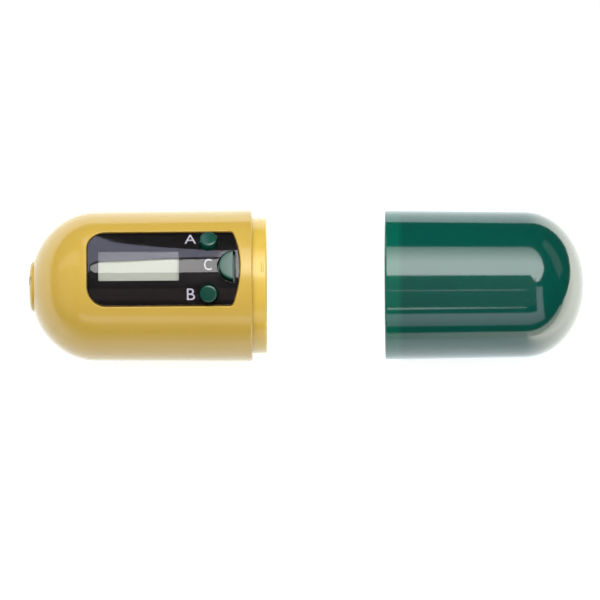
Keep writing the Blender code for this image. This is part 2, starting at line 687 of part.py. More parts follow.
def stem_end(spread):
    """How far out a key's stem ends, so that pressed home it stops a gap above its switch."""
    tilt = math.radians(spread)
    lowest = PLUNGER_TOP + GAP + KEY_STEM_RADIUS * math.sin(tilt)
    return lowest / math.cos(tilt) + KEY_TRAVEL


def make_keys():
    """Three green keys, each with a flange trapped under the lens and a stem down to its switch."""
    top = timer_radius(KEY_X) + KEY_PROUD
    bottom = FLANGE_TOP - KEY_FLANGE_THICKNESS
    end = stem_end(KEY_SPREAD)
    profile = [
        (top, 0),
        (top, KEY_RADIUS - KEY_BEVEL),
        (top - KEY_BEVEL, KEY_RADIUS),
        (FLANGE_TOP, KEY_RADIUS),
        (FLANGE_TOP, KEY_FLANGE),
        (bottom, KEY_FLANGE),
        (bottom, KEY_STEM_RADIUS),
        (end, KEY_STEM_RADIUS),
        (end, 0),
    ]
    for key, axis in (("key_a", key_axis_a), ("key_b", key_axis_b)):
        turned(key, profile, green, axis, SMALL_FACETS, along_x=False)
    top = timer_radius(MOON_FLAT_X) + MOON_PROUD
    bottom = MOON_FLANGE_TOP - KEY_FLANGE_THICKNESS
    third = KEY_FLANGE_THICKNESS / 3
    moon = prism("key_c", moon_outline(0), bottom + third, top - KEY_BEVEL, green, key_axis_c)
    inset = moon_outline(-KEY_BEVEL)
    crown = prism("moon_crown", inset, bottom + 2 * third, top, None, key_axis_c)
    flange = moon_outline(MOON_FLANGE_STEP)
    rim = prism("moon_flange", flange, bottom, MOON_FLANGE_TOP, None, key_axis_c)
    stem_top = (bottom + MOON_FLANGE_TOP) / 2
    stem = rod("moon_stem", KEY_STEM_RADIUS, stem_end(0), stem_top, None, stem_axis_c)
    combine(moon, "UNION", crown, rim, stem)


def make_display():
    """Display glass over its reflector, in a frame with two rubber contact strips on the board."""
    left, right = GLASS_LEFT_X, GLASS_RIGHT_X
    box(
        "display_glass",
        (left, -GLASS_HALF_WIDTH, GLASS_BOTTOM),
        (right, GLASS_HALF_WIDTH, GLASS_TOP),
        glass,
        panel,
    )
    bottom, top = BOARD_TOP + GAP, GLASS_BOTTOM - GAP
    outside = GLASS_HALF_WIDTH + FRAME_WALL
    inside = GLASS_HALF_WIDTH
    frame = box("display_frame", (left, -outside, bottom), (right, outside, top), white, panel)
    room = box(
        "frame_room",
        (left + FRAME_WALL, -inside, bottom - OVERRUN),
        (right - FRAME_WALL, inside, top + OVERRUN),
        None,
        panel,
    )
    combine(frame, "DIFFERENCE", room)
    strip_left, strip_right = left + FRAME_WALL + GAP, right - FRAME_WALL - GAP
    far = inside - GAP
    near = far - STRIP_WIDTH
    box("contact_rubber_1", (strip_left, near, bottom), (strip_right, far, top), rubber, panel)
    box("contact_rubber_2", (strip_left, -far, bottom), (strip_right, -near, top), rubber, panel)
    sheet = near - GAP
    low = (strip_left, -sheet, top - REFLECTOR_THICKNESS)
    box("display_reflector", low, (strip_right, sheet, top), silver, panel)


def make_board():
    """Circuit board with three switches above it, the chip, crystal and capacitor below."""
    half = math.sqrt(timer_bore(BOARD_LEFT_X) ** 2 - BOARD_TOP**2) - BOARD_SIDE_ROOM
    outline = rounded_rectangle(BOARD_LEFT_X, BOARD_RIGHT_X, half, BOARD_CORNER)
    prism("circuit_board", outline, BOARD_BOTTOM, BOARD_TOP, board_green, panel)
    bottom = BOARD_TOP + GAP
    aside = (PLUNGER_TOP + GAP) * math.tan(KEY_TILT)
    places = (("a", KEY_X, aside), ("b", KEY_X, -aside), ("c", MOON_STEM_X, 0))
    for key, x, y in places:
        seat = new_empty("switch_seat_" + key, panel, (x, y, bottom))
        half = SWITCH_SIDE / 2
        switch = box("switch_" + key, (-half, -half, 0), (half, half, SWITCH_HEIGHT), steel, seat)
        top = SWITCH_HEIGHT + PLUNGER_HEIGHT
        plunger = rod("plunger_" + key, PLUNGER_RADIUS, SWITCH_HEIGHT / 2, top, None, seat, 16)
        combine(switch, "UNION", plunger)
    underside = BOARD_BOTTOM - GAP
    seat = new_empty("chip_seat", panel, (CHIP_X, 0, underside))
    profile = [(0, 0)] + [
        (-CHIP_HEIGHT * math.sin(t), CHIP_RADIUS * math.cos(t))
        for t in (QUARTER_TURN * i / 4 for i in range(5))
    ]
    turned("chip_blob", profile, black, seat, SMALL_FACETS, along_x=False)
    crystal_x = SHOULDER_X - CRYSTAL_FROM_SHOULDER - CRYSTAL_LENGTH
    capacitor_x = END_WALL_X + CAPACITOR_FROM_WALL
    cans = (
        ("crystal", crystal_x, CRYSTAL_SIDE, CRYSTAL_RADIUS, CRYSTAL_LENGTH, steel),
        ("capacitor", capacitor_x, CAPACITOR_SIDE, CAPACITOR_RADIUS, CAPACITOR_LENGTH, black),
    )
    for name, x, side, radius, length, finish in cans:
        seat = new_empty(name + "_seat", panel, (x, side, underside - radius))
        edge = radius / 5
        profile = [(length, 0), (length, radius - edge), (length - edge, radius), (0, radius), (0, 0)]
        turned(name, profile, finish, seat, 16)


def make_chassis():
    """A trough that carries the board, with the battery tube on its end wall and a buzzer seat."""
    open_end = SHOULDER_X - TROUGH_END_FROM_SHOULDER
    outside = timer_bore(WALL_BACK_X) - TROUGH_FIT
    inside = outside - TROUGH_WALL
    profile = [
        (TUBE_END_X, 0),
        (TUBE_END_X, TUBE_OUTER),
        (END_WALL_X, TUBE_OUTER),
        (END_WALL_X, inside),
        (open_end, inside),
        (open_end, outside),
        (WALL_BACK_X, outside),
        (WALL_BACK_X, TUBE_OUTER),
        (TUBE_START_X, TUBE_OUTER),
        (TUBE_START_X, TUBE_RADIUS),
        (TUBE_FLOOR_X, TUBE_RADIUS),
        (TUBE_FLOOR_X, 0),
    ]
    chassis = turned("chassis", profile, dark_plastic, capsule)
    reach = SHOULDER_RADIUS + OVERRUN
    above = box(
        "above_trough",
        (WALL_BACK_X - OVERRUN, -reach, TROUGH_TOP),
        (open_end + OVERRUN, reach, reach),
        None,
        panel,
    )
    seat = new_empty("buzzer_seat", panel, (BUZZER_X, 0, 0))
    ring_top = buzzer_height() - BUZZER_THICKNESS - GAP
    ring_radius = BUZZER_RADIUS - BUZZER_RING_INSET
    ring = turned(
        "buzzer_ring",
        [
            (ring_top, ring_radius),
            (-reach, ring_radius),
            (-reach, ring_radius - BUZZER_WALL),
            (ring_top, ring_radius - BUZZER_WALL),
        ],
        None,
        seat,
        SMALL_FACETS,
        along_x=False,
        closed=True,
    )
    within = inside + TROUGH_WALL / 2
    core = turned(
        "trough_core",
        [(SHOULDER_X, 0), (SHOULDER_X, within), (TIMER_DOME_X, within), (TIMER_DOME_X, 0)],
        None,
        capsule,
    )
    combine(ring, "INTERSECT", core)
    combine(chassis, "UNION", ring)
    combine(chassis, "DIFFERENCE", above)
    for number, angle in enumerate(SCREW_ANGLES, start=1):
        spoke = new_empty(f"boss_notch_axis_{number}", panel, turn=(math.radians(angle), 0, 0))
        half = BOSS_RADIUS + GAP
        low = (open_end - BOSS_LENGTH - GAP, -half, -reach)
        high = (open_end + OVERRUN, half, -SCREW_CIRCLE + half)
        combine(chassis, "DIFFERENCE", box(f"boss_notch_{number}", low, high, None, spoke))
    tail = new_empty("tail_axis", panel, (TUBE_FLOOR_X, 0, SPRING_BASE_RADIUS), (0, QUARTER_TURN, 0))
    hole = rod("tail_hole", SPRING_WIRE / 2 + GAP, -SINK, TUBE_FLOOR + SINK, None, tail, 12)
    half = STRIP_CONTACT_WIDTH / 2 + GAP
    slot = box(
        "contact_slot",
        (TUBE_START_X - OVERRUN, -half, 0),
        (WALL_BACK_X - GAP / 2, half, TUBE_OUTER + OVERRUN),
        None,
        panel,
    )
    combine(chassis, "DIFFERENCE", hole, slot)


def buzzer_height():
    """Height of the sounder disc's upper face, over the curved floor of the trough."""
    inside = timer_bore(WALL_BACK_X) - TROUGH_FIT - TROUGH_WALL
    return BUZZER_ROOM - math.sqrt(inside**2 - BUZZER_RADIUS**2)


def make_buzzer():
    """A brass sounder disc on the chassis ring, and its two wires up to the board."""
    seat = new_empty("buzzer_axis", panel, (BUZZER_X, 0, 0))
    top = buzzer_height()
    rod("buzzer_disc", BUZZER_RADIUS, top - BUZZER_THICKNESS, top, brass, seat)
    low = top + WIRE_RADIUS
    high = BOARD_BOTTOM - GAP
    steps = 8
    for name, side, finish in (("buzzer_wire_red", 1, red), ("buzzer_wire_black", -1, black)):
        path = []
        for i in range(steps + 1):
            rise = i / steps
            bow = WIRE_BOW * math.sin(HALF_TURN * rise)
            path.append((side * WIRE_SIDE - bow, side * (WIRE_SIDE + bow), low + (high - low) * rise))
        wire(name, path, WIRE_RADIUS, finish, seat, 1)


def make_battery():
    """Two button cells in the tube, the coil spring behind them and the side contact."""
    base = [
        (0, 0),
        (0, CELL_BASE_RADIUS),
        (-CELL_BASE_STEP, CELL_BASE_RADIUS),
        (-CELL_BASE_STEP, CELL_RADIUS),
        (CELL_LIP - CELL_THICKNESS, CELL_RADIUS),
        (-CELL_THICKNESS, CELL_RADIUS - CELL_LIP),
        (-CELL_THICKNESS, 0),
    ]
    for number in (1, 2):
        end = CELL_START_X + CELL_THICKNESS + (number - 1) * CELL_PITCH
        seat = new_empty(f"cell_seat_{number}", capsule, (end, 0, 0))
        turned(f"button_cell_{number}", base, steel, seat, SMALL_FACETS)

    steps = round(SPRING_TURNS * SPRING_STEPS)
    half_wire = SPRING_WIRE / 2
    coil_low, coil_high = SPRING_TIP_X + half_wire, SPRING_BASE_X - half_wire
    path = []
    for i in range(steps + 1):
        share = i / steps
        turn = 2 * HALF_TURN * SPRING_TURNS * (1 - share)
        radius = SPRING_TOP_RADIUS + share * (SPRING_BASE_RADIUS - SPRING_TOP_RADIUS)
        x = coil_low + share * (coil_high - coil_low)
        path.append((x, radius * math.sin(turn), radius * math.cos(turn)))
    bend = TAIL_REACH / 4
    tail_x = coil_high + TAIL_REACH
    path.append((tail_x - bend, 0, SPRING_BASE_RADIUS))
    path.append((tail_x, 0, SPRING_BASE_RADIUS + bend))
    path.append((tail_x, 0, BOARD_BOTTOM - GAP))
    wire("battery_spring", path, half_wire, steel, panel, 1)

    low = CELL_RADIUS + GAP
    high = low + STRIP_CONTACT_THICKNESS
    back = WALL_BACK_X - GAP
    thick = STRIP_CONTACT_THICKNESS
    outline = [
        (back - STRIP_CONTACT_LENGTH, low),
        (back, low),
        (back, BOARD_BOTTOM - GAP),
        (back - thick, BOARD_BOTTOM - GAP),
        (back - thick, high),
        (back - STRIP_CONTACT_LENGTH, high),
    ]
    side_on = new_empty("contact_side", panel, turn=(QUARTER_TURN, 0, 0))
    half = STRIP_CONTACT_WIDTH / 2
    prism("battery_contact", outline, -half, half, brass, side_on)


def make_battery_cover():
    """The coin-slot cover: a crowned disc on a skirt, with two bayonet lugs behind the ledge."""
    crown = []
    for i in range(DOME_STEPS + 1):
        radius = COVER_RADIUS * math.sin(QUARTER_TURN * i / DOME_STEPS)
        rise = (1 - (radius / COVER_RADIUS) ** CROWN_POWER) ** (1 / CROWN_POWER)
        crown.append((COVER_EDGE_X - COVER_CROWN * rise, radius))
    inner = SKIRT_RADIUS - SKIRT_WALL
    profile = [
        (COVER_BACK_X, 0),
        (COVER_BACK_X, inner),
        (LUG_BACK_X, inner),
        (LUG_BACK_X, SKIRT_RADIUS),
        (COVER_BACK_X, SKIRT_RADIUS),
        (COVER_BACK_X, COVER_RADIUS),
    ]
    cover = turned("battery_cover", profile + crown[::-1], yellow, capsule, 32)
    ring = turned(
        "lug_ring",
        [
            (LUG_BACK_X, LUG_RADIUS),
            (LUG_FRONT_X, LUG_RADIUS),
            (LUG_FRONT_X, SKIRT_RADIUS - SKIRT_WALL / 2),
            (LUG_BACK_X, SKIRT_RADIUS - SKIRT_WALL / 2),
        ],
        None,
        capsule,
        32,
        closed=True,
    )
    half = LUG_WIDTH / 2
    sides = box(
        "lug_sides",
        (LUG_FRONT_X - SINK, -half, -COVER_RADIUS),
        (LUG_BACK_X + SINK, half, COVER_RADIUS),
        None,
        panel,
    )
    combine(ring, "INTERSECT", sides)
    combine(cover, "UNION", ring)
    half = SLOT_WIDTH / 2
    slot = box(
        "coin_slot",
        (COVER_TIP_X - OVERRUN, -half, -COVER_RADIUS - OVERRUN),
        (COVER_TIP_X + SLOT_DEPTH, half, COVER_RADIUS + OVERRUN),
        None,
        panel,
    )
    combine(cover, "DIFFERENCE", slot)


def make_cap():
    """The green cap and the pill cup pressed into it, short of the rim by the neck's length."""
    outer = dome(CAP_DOME_X, CAP_DOME_DEPTH, CAP_DOME_RADIUS)[::-1]
    lip = quarter_lip(CAP_RIM_X, CAP_RIM_RADIUS, CAP_LIP, 1)[::-1]
    deep = CAP_DOME_RADIUS - CAP_WALL
    inner = dome(CAP_DOME_X, CAP_DOME_DEPTH - CAP_WALL, deep, steps=HIDDEN_DOME_STEPS)
    profile = outer + lip + [(CAP_RIM_X, CAP_MOUTH_RADIUS)] + inner
    turned("cap_shell", profile, dark_green, capsule)

    share = (CUP_RIM_X - CAP_RIM_X) / (CAP_DOME_X - CAP_RIM_X)
    at_rim = CAP_MOUTH_RADIUS + share * (deep - CAP_MOUTH_RADIUS)
    outside = dome(CAP_DOME_X, CUP_DOME_DEPTH, deep - CUP_FIT, steps=HIDDEN_DOME_STEPS)[::-1]
    inside = dome(CAP_DOME_X, CUP_DOME_DEPTH - CUP_WALL, deep - CUP_FIT - CUP_WALL)
    rim = [(CUP_RIM_X, at_rim - CUP_FIT), (CUP_RIM_X, at_rim - CUP_FIT - CUP_WALL)]
    turned("pill_cup", outside + rim + inside, cup_green, capsule)


clear_scene()
parts = new_collection("capsule_pill_box_timer")
cutters = new_collection("cutters")

yellow = new_material("yellow_plastic", (0.66, 0.45, 0.07), 0.25)
clear_yellow = new_material("clear_yellow_plastic", (0.80, 0.60, 0.08), 0.3)
dark_green = new_material("dark_green_plastic", (0.0, 0.14, 0.095), 0.2)
cup_green = new_material("cup_green_plastic", (0.0, 0.16, 0.10), 0.3)
green = new_material("key_green_plastic", (0.0, 0.15, 0.08), 0.35)
clear = new_material("clear_acrylic", (0.9, 0.9, 0.9), 0.05, alpha=0.25)
black = new_material("black_film", (0.01, 0.008, 0.01), 0.3)
glass = new_material("display_glass", (0.72, 0.78, 0.68), 0.1, alpha=0.5)
silver = new_material("display_backing", (0.70, 0.76, 0.66), 0.5)
white = new_material("white_plastic", (0.8, 0.8, 0.78), 0.5)
rubber = new_material("contact_rubber", (0.05, 0.05, 0.06), 0.8)
board_green = new_material("circuit_board", (0.02, 0.20, 0.06), 0.5)
dark_plastic = new_material("chassis_plastic", (0.12, 0.12, 0.12), 0.5)
steel = new_material("plated_steel", (0.6, 0.6, 0.6), 0.3, 1.0)
brass = new_material("brass", (0.75, 0.58, 0.25), 0.3, 1.0)
red = new_material("red_wire", (0.6, 0.03, 0.02), 0.4)

capsule = new_empty("capsule_axis", None, (0, 0, AXIS_HEIGHT))
panel = new_empty("panel_direction", capsule, turn=(-math.radians(PANEL_ROLL), 0, 0))
key_axis_a = new_empty("key_axis_a", panel, (KEY_X, 0, 0), (-math.radians(KEY_SPREAD), 0, 0))
key_axis_b = new_empty("key_axis_b", panel, (KEY_X, 0, 0), (math.radians(KEY_SPREAD), 0, 0))
key_axis_c = new_empty("key_axis_c", panel, (MOON_FLAT_X, 0, 0))
stem_axis_c = new_empty("stem_axis_c", panel, (MOON_STEM_X, 0, 0))

make_body_shell()
make_neck()
make_panel()
make_keys()
make_display()
make_board()
make_chassis()
make_buzzer()
make_battery()
make_battery_cover()
make_cap()
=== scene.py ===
import math

import bmesh
import bpy
from mathutils import Matrix, Vector
from mathutils.geometry import delaunay_2d_cdt


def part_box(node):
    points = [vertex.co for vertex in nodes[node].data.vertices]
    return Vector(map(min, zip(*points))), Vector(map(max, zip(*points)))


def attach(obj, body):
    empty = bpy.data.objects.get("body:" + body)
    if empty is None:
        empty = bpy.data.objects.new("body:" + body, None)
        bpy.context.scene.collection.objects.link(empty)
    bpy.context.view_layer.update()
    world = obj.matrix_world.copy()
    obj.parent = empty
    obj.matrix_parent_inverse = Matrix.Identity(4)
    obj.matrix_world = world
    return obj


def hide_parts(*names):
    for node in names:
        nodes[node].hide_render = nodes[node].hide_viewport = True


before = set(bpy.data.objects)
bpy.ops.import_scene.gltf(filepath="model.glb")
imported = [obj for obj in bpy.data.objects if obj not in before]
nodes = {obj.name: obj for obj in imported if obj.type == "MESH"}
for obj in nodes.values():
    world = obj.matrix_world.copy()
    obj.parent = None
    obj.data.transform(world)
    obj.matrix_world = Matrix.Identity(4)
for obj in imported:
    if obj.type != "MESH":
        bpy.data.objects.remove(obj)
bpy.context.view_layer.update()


# Casing of the timer half: one opaque yellow moulding in glossy plastic, a barrel drafted towards
# a half-ellipse dome. The panel's recess, the key wells, the screw bosses and the battery opening
# are moulded in. The recess has a small rounded edge, which catches the light.
MM = 0.001
AXIS_Z = (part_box("cap_shell")[0][2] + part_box("cap_shell")[1][2]) / 2
SHOULDER_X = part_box("body_shell")[1][0]
SHOULDER_R = AXIS_Z - 0.003 * MM
DOME_X = SHOULDER_X - 36.35 * MM
DOME_R = 17.33 * MM
DOME_DEPTH = 15.45 * MM
CASING_WALL = 1.8 * MM
SHOULDER_LIP = 0.4 * MM
NECK_BORE = 15.95 * MM
NECK_STOP_X = SHOULDER_X - 1.63 * MM
RECESS_X = -61.6 * MM
LEDGE_X = -60.4 * MM
COLLAR_X = -58.7 * MM
COVER_RECESS_R = 6.2 * MM
LEDGE_R = 4.7 * MM
CHAMBER_R = 5.7 * MM
COLLAR_R = 7.2 * MM
PANEL_ROLL = math.radians(15.2)
PANEL_RIGHT_X = SHOULDER_X - 2.81 * MM
PANEL_LEFT_X = DOME_X - 2.07 * MM
PANEL_HALF = 8.94 * MM
PANEL_FLOOR = 1.70 * MM
SEAT_WALL = 1.2 * MM
RECESS_EDGE = 0.36 * MM
KEY_X = PANEL_RIGHT_X - 7.37 * MM
KEY_TILT = math.radians(21)
MOON_X = PANEL_RIGHT_X - 1.62 * MM
MOON_R = 3.3 * MM
BOSS_ANGLES = (0, 100, -100)
BOSS_OUT = 12.2 * MM
BOSS_R = 2.3 * MM
BOSS_DEPTH = 8.5 * MM
BOSS_X = NECK_STOP_X - BOSS_DEPTH
RIB_HALF = 0.8 * MM
SCREW_HOLE_R = 1.2 * MM
WELL_R = 3.92 * MM
WELL_LOW = 13.0 * MM
WELL_TOP = 14.83 * MM
MOON_WELL = 1.8 * MM
MOON_WELL_LOW = 12.6 * MM
POCKET_R = 3.12 * MM
POCKET_LOW = 13.8 * MM
POCKET_TOP = 16.8 * MM
MOON_POCKET = 1.0 * MM
MOON_POCKET_LOW = 13.5 * MM
GUIDE_R = 1.4 * MM
GUIDE_LOW = 11.5 * MM
GUIDE_TOP = 14.5 * MM
MOON_STEM_X = MOON_X - 1.5 * MM
GLASS_ROOM = 0.3 * MM
GLASS_ROOM_HALF = 5.5 * MM
PEEL_DEPTH = 0.02 * MM
WELD = 1e-6
SHARP = math.radians(30)
FULL_TURN = 2 * math.pi
QUARTER = math.pi / 2
TO_PANEL = Matrix.Translation((0, 0, AXIS_Z)) @ Matrix.Rotation(-PANEL_ROLL, 4, "X")


class Wire:
    """A socket in a node tree, or the bare tree, on which values are written as plain sums."""

    def __init__(self, tree, socket=None):
        self.tree = tree
        self.socket = socket

    def node(self, kind, settings=None, sockets=None, outlet=0):
        """A node with its settings, then its sockets by name, identifier or place.

        A socket takes a value, a link, or a list of links."""
        made = self.tree.nodes.new(kind)
        for name, value in (settings or {}).items():
            if name == "stops":
                ramp = made.color_ramp
                while len(ramp.elements) < len(value):
                    ramp.elements.new(0.5)
                for element, (place, colour) in zip(ramp.elements, value):
                    element.position = place
                    element.color = colour
            else:
                setattr(made, name, value)
        for key, value in (sockets or {}).items():
            inlet = self.find(made.inputs, key)
            if isinstance(value, (Wire, list)):
                for wire in value if isinstance(value, list) else [value]:
                    self.tree.links.new(wire.socket, inlet)
            else:
                inlet.default_value = value
        return Wire(self.tree, self.find(made.outputs, outlet) if made.outputs else None)

    def geometry(self, kind, sockets=None, settings=None):
        return self.node("GeometryNode" + kind, settings, sockets)

    def ended(self, shape, finish):
        """The shape made real, in its finish, as what a geometry tree gives."""
        real = self.geometry("RealizeInstances", {"Geometry": shape})
        done = self.geometry("SetMaterial", {"Geometry": real, "Material": finish})
        self.node("NodeGroupOutput", None, {"Geometry": done})
        return self.tree

    @staticmethod
    def find(sockets, key):
        if isinstance(key, int):
            return [s for s in sockets if s.enabled][key]
        return next(s for s in sockets if s.enabled and key in (s.identifier, s.name))

    def maths(self, operation, *values):
        return self.node("ShaderNodeMath", {"operation": operation}, dict(enumerate(values)))

    def __add__(self, other):
        return self.maths("ADD", self, other)

    __radd__ = __add__

    def __sub__(self, other):
        return self.maths("SUBTRACT", self, other)

    def __rsub__(self, other):
        return self.maths("SUBTRACT", other, self)

    def __mul__(self, other):
        return self.maths("MULTIPLY", self, other)

    __rmul__ = __mul__

    def __truediv__(self, other):
        return self.maths("DIVIDE", self, other)

    def clamped(self):
        return self.maths("MINIMUM", self.maths("MAXIMUM", self, 0.0), 1.0)

    def mixed(self, first, second):
        """The first colour where this is 0, the second where it is 1."""
        return self.node(
            "ShaderNodeMix", {"data_type": "RGBA"}, {"Factor": self, "A": first, "B": second}
        )

    def noise(self, scale, detail=2.0, stretch=(1, 1, 1), turn=(0, 0, 0)):
        """Noise over the object's own coordinates; the scale counts waves to the metre."""
        place = self.node("ShaderNodeTexCoord", outlet="Object")
        place = self.node(
            "ShaderNodeMapping", None, {"Vector": place, "Scale": stretch, "Rotation": turn}
        )
        sockets = {"Vector": place, "Scale": scale, "Detail": detail}
        return self.node("ShaderNodeTexNoise", None, sockets)

    def coordinate(self, axis):
        """The object's own coordinate along one axis."""
        place = self.node("ShaderNodeTexCoord", outlet="Object")
        return self.node("ShaderNodeSeparateXYZ", None, {0: place}, axis)

    def ray(self, kind):
        """1 for a ray of this kind, 0 for any other."""
        return self.node("ShaderNodeLightPath", outlet=f"Is {kind} Ray")

    def bumped(self, strength, distance):
        """The normal over this height."""
        sockets = {"Strength": strength, "Distance": distance, "Height": self}
        return self.node("ShaderNodeBump", None, sockets)

    def blended(self, first, second):
        """The first shader where this is 0, the second where it is 1."""
        return self.node("ShaderNodeMixShader", None, {0: self, 1: first, 2: second})

    def added(self, other):
        return self.node("ShaderNodeAddShader", None, {0: self, 1: other})

    def principled(self, sockets):
        return self.node("ShaderNodeBsdfPrincipled", None, sockets)


def new_finish(name):
    material = bpy.data.materials.new(name)
    material.use_nodes = True
    material.node_tree.nodes.clear()
    return material, Wire(material.node_tree)


def finished(material, shader, colour):
    shader.node("ShaderNodeOutputMaterial", None, {"Surface": shader})
    material.diffuse_color = (*colour, 1.0)
    return material


def moulded(name, colour, shade, rough, peel=0.10, marks=0.10, uniform=None, zoned=None):
    """Moulded plastic: faint flow shading, a fine orange peel and hairline handling marks.

    Its sockets may be given uniform values, and its colour may be changed over a zone."""
    material, tree = new_finish(name)
    flow = tree.noise(38.0, 3.0)
    grain = tree.noise(1000.0, 1.0)
    along = (tree.noise(30.0, 4.0, (1, 55, 55)) - 0.64) * 9.0
    across = (tree.noise(30.0, 4.0, (40, 1, 40), (0.3, 0.2, 0.7)) - 0.66) * 9.0
    lines = (along.clamped() + across.clamped()) * marks
    base = ((flow - 0.35) * 3.0).clamped().mixed((*colour, 1.0), (*shade, 1.0))
    sockets = {
        "Base Color": zoned(base) if zoned else base,
        "Roughness": flow * 0.08 + lines + (rough - 0.04),
        "Normal": grain.bumped(peel, PEEL_DEPTH),
    }
    sockets.update(uniform or {})
    return finished(material, tree.principled(sockets), colour)


def new_tree(name, inputs):
    """A geometry tree: its start, then the shape that comes in and the further inputs."""
    tree = bpy.data.node_groups.new(name, "GeometryNodeTree")
    for label, kind in [("Geometry", "Geometry"), *inputs]:
        tree.interface.new_socket(label, in_out="INPUT", socket_type="NodeSocket" + kind)
    tree.interface.new_socket("Geometry", in_out="OUTPUT", socket_type="NodeSocketGeometry")
    given = tree.nodes.new("NodeGroupInput").outputs
    return Wire(tree), [Wire(tree, given[i]) for i in range(1 + len(inputs))]


def turning_tree():
    """A profile's points, along X and out from the axis, turned once round the capsule's axis."""
    inputs = [("Facets", "Int"), ("Axis height", "Float"), ("Finish", "Material")]
    start, (profile, facets, height, finish) = new_tree("turned piece", inputs)
    size = start.geometry("AttributeDomainSize", {"Geometry": profile})
    sizes = {"Size X": 1.0, "Size Y": 1.0, "Vertices X": size, "Vertices Y": facets + 1.0}
    grid = start.geometry("MeshGrid", sizes)
    index = start.geometry("InputIndex")
    column = index.maths("MODULO", index, facets + 1.0)
    row = index.maths("FLOOR", (index + 0.5) / (facets + 1.0))
    sample = start.geometry(
        "SampleIndex",
        {"Geometry": profile, "Value": start.geometry("InputPosition"), "Index": row},
        {"data_type": "FLOAT_VECTOR"},
    )
    along = start.node("ShaderNodeSeparateXYZ", None, {0: sample}, "X")
    radius = start.node("ShaderNodeSeparateXYZ", None, {0: sample}, "Y")
    turn = column * FULL_TURN / facets
    across = radius * turn.maths("SINE", turn)
    up = radius * turn.maths("COSINE", turn) + height
    place = start.node("ShaderNodeCombineXYZ", None, {"X": along, "Y": across, "Z": up})
    moved = start.geometry("SetPosition", {"Geometry": grid, "Position": place})
    welded = start.geometry("MergeByDistance", {"Geometry": moved, "Distance": WELD})
    return start.ended(welded, finish)


TURNING = turning_tree()


def new_object(name, data):
    obj = bpy.data.objects.new(name, data)
    bpy.context.scene.collection.objects.link(obj)
    return obj


def evaluated(obj):
    """A plain mesh of what the object's curves or modifiers make."""
    graph = bpy.context.evaluated_depsgraph_get()
    return bpy.data.meshes.new_from_object(obj.evaluated_get(graph))


def as_mesh(name, work):
    """The finished work as a mesh, with its faces turned outwards."""
    bmesh.ops.recalc_face_normals(work, faces=work.faces)
    mesh = bpy.data.meshes.new(name)
    work.to_mesh(mesh)
    work.free()
    return mesh


def settled(obj):
    """The object's evaluated mesh as its plain mesh: one finish, merged, facing outwards, smooth."""
    mesh = evaluated(obj)
    obj.modifiers.clear()
    obj.data = mesh
    finishes = [finish for finish in mesh.materials if finish]
    mesh.materials.clear()
    for finish in finishes[:1]:
        mesh.materials.append(finish)
    work = bmesh.new()
    work.from_mesh(mesh)
    bmesh.ops.remove_doubles(work, verts=work.verts, dist=WELD)
    bmesh.ops.dissolve_degenerate(work, edges=work.edges, dist=1e-7)
    bmesh.ops.recalc_face_normals(work, faces=work.faces)
    for face in work.faces:
        face.material_index = 0
    work.to_mesh(mesh)
    work.free()
    mesh.shade_smooth()
    mesh.set_sharp_from_angle(angle=SHARP)
    return obj


def through_tree(name, points, tree, values):
    """Points run through a geometry tree with its named inputs, then made a plain mesh."""
    mesh = bpy.data.meshes.new(name)
    mesh.from_pydata(points, [], [])
    obj = new_object(name, mesh)
    change = obj.modifiers.new("make", "NODES")
    change.node_group = tree
    for item in tree.interface.items_tree:
        if item.in_out == "INPUT" and item.name in values:
            change[item.identifier] = values[item.name]
    return settled(obj)


def turned(name, profile, finish, facets=192):
    """A closed profile turned round the capsule's axis; a cutter has no finish."""
    values = {"Facets": facets, "Axis height": AXIS_Z}
    if finish:
        values["Finish"] = finish
    return through_tree(name, [(x, r, 0) for x, r in profile], TURNING, values)


def loft(name, rings, finish=None, place=TO_PANEL):
    """A closed body through rings of points, from the first to the last, with flat ends."""
    work = bmesh.new()
    made = [[work.verts.new(point) for point in ring] for ring in rings]
    count = len(rings[0])
    for low, high in zip(made, made[1:]):
        for i in range(count):
            j = (i + 1) % count
            work.faces.new((low[i], low[j], high[j], high[i]))
    work.faces.new(made[0][::-1])
    work.faces.new(made[-1])
    work.transform(place)
    mesh = as_mesh(name, work)
    if finish:
        mesh.materials.append(finish)
    return new_object(name, mesh)


def cut(obj, cutter, operation="DIFFERENCE"):
    """One exact cut or join, after which the cutter is gone."""
    change = obj.modifiers.new("cut", "BOOLEAN")
    change.object = cutter
    change.operation = operation
    change.solver = "EXACT"
    settled(obj)
    bpy.data.objects.remove(cutter, do_unlink=True)


def arc(cx, cy, radius, start, end, steps):
    """Points round an arc, from one angle to another in degrees."""
    turns = [math.radians(start + (end - start) * i / steps) for i in range(steps + 1)]
    return [(cx + radius * math.cos(t), cy + radius * math.sin(t)) for t in turns]


def casing_radius(x):
    """Outside radius of the casing at a place along the axis."""
    if x >= DOME_X:
        return DOME_R + (SHOULDER_R - DOME_R) * (x - DOME_X) / (SHOULDER_X - DOME_X)
    return DOME_R * math.sqrt(max(0.0, 1 - ((DOME_X - x) / DOME_DEPTH) ** 2))


def dome(centre, depth, radius, smallest=0.0, steps=40):
    """Half-ellipse points from the widest ring to the pole, or to a smaller ring."""
    last = math.acos(smallest / radius)
    turns = [last * i / steps for i in range(steps + 1)]
    return [(centre + depth * math.sin(t), radius * math.cos(t)) for t in turns]


def rim(x, radius, lip, inward, steps=5):
    """Rounded outer edge of a rim whose end face is at x; inward is the way to its wall."""
    turns = [math.radians(90 - 90 * i / steps) for i in range(steps + 1)]
    return [
        (x + inward * lip * (1 - math.sin(t)), radius - lip * (1 - math.cos(t))) for t in turns
    ]


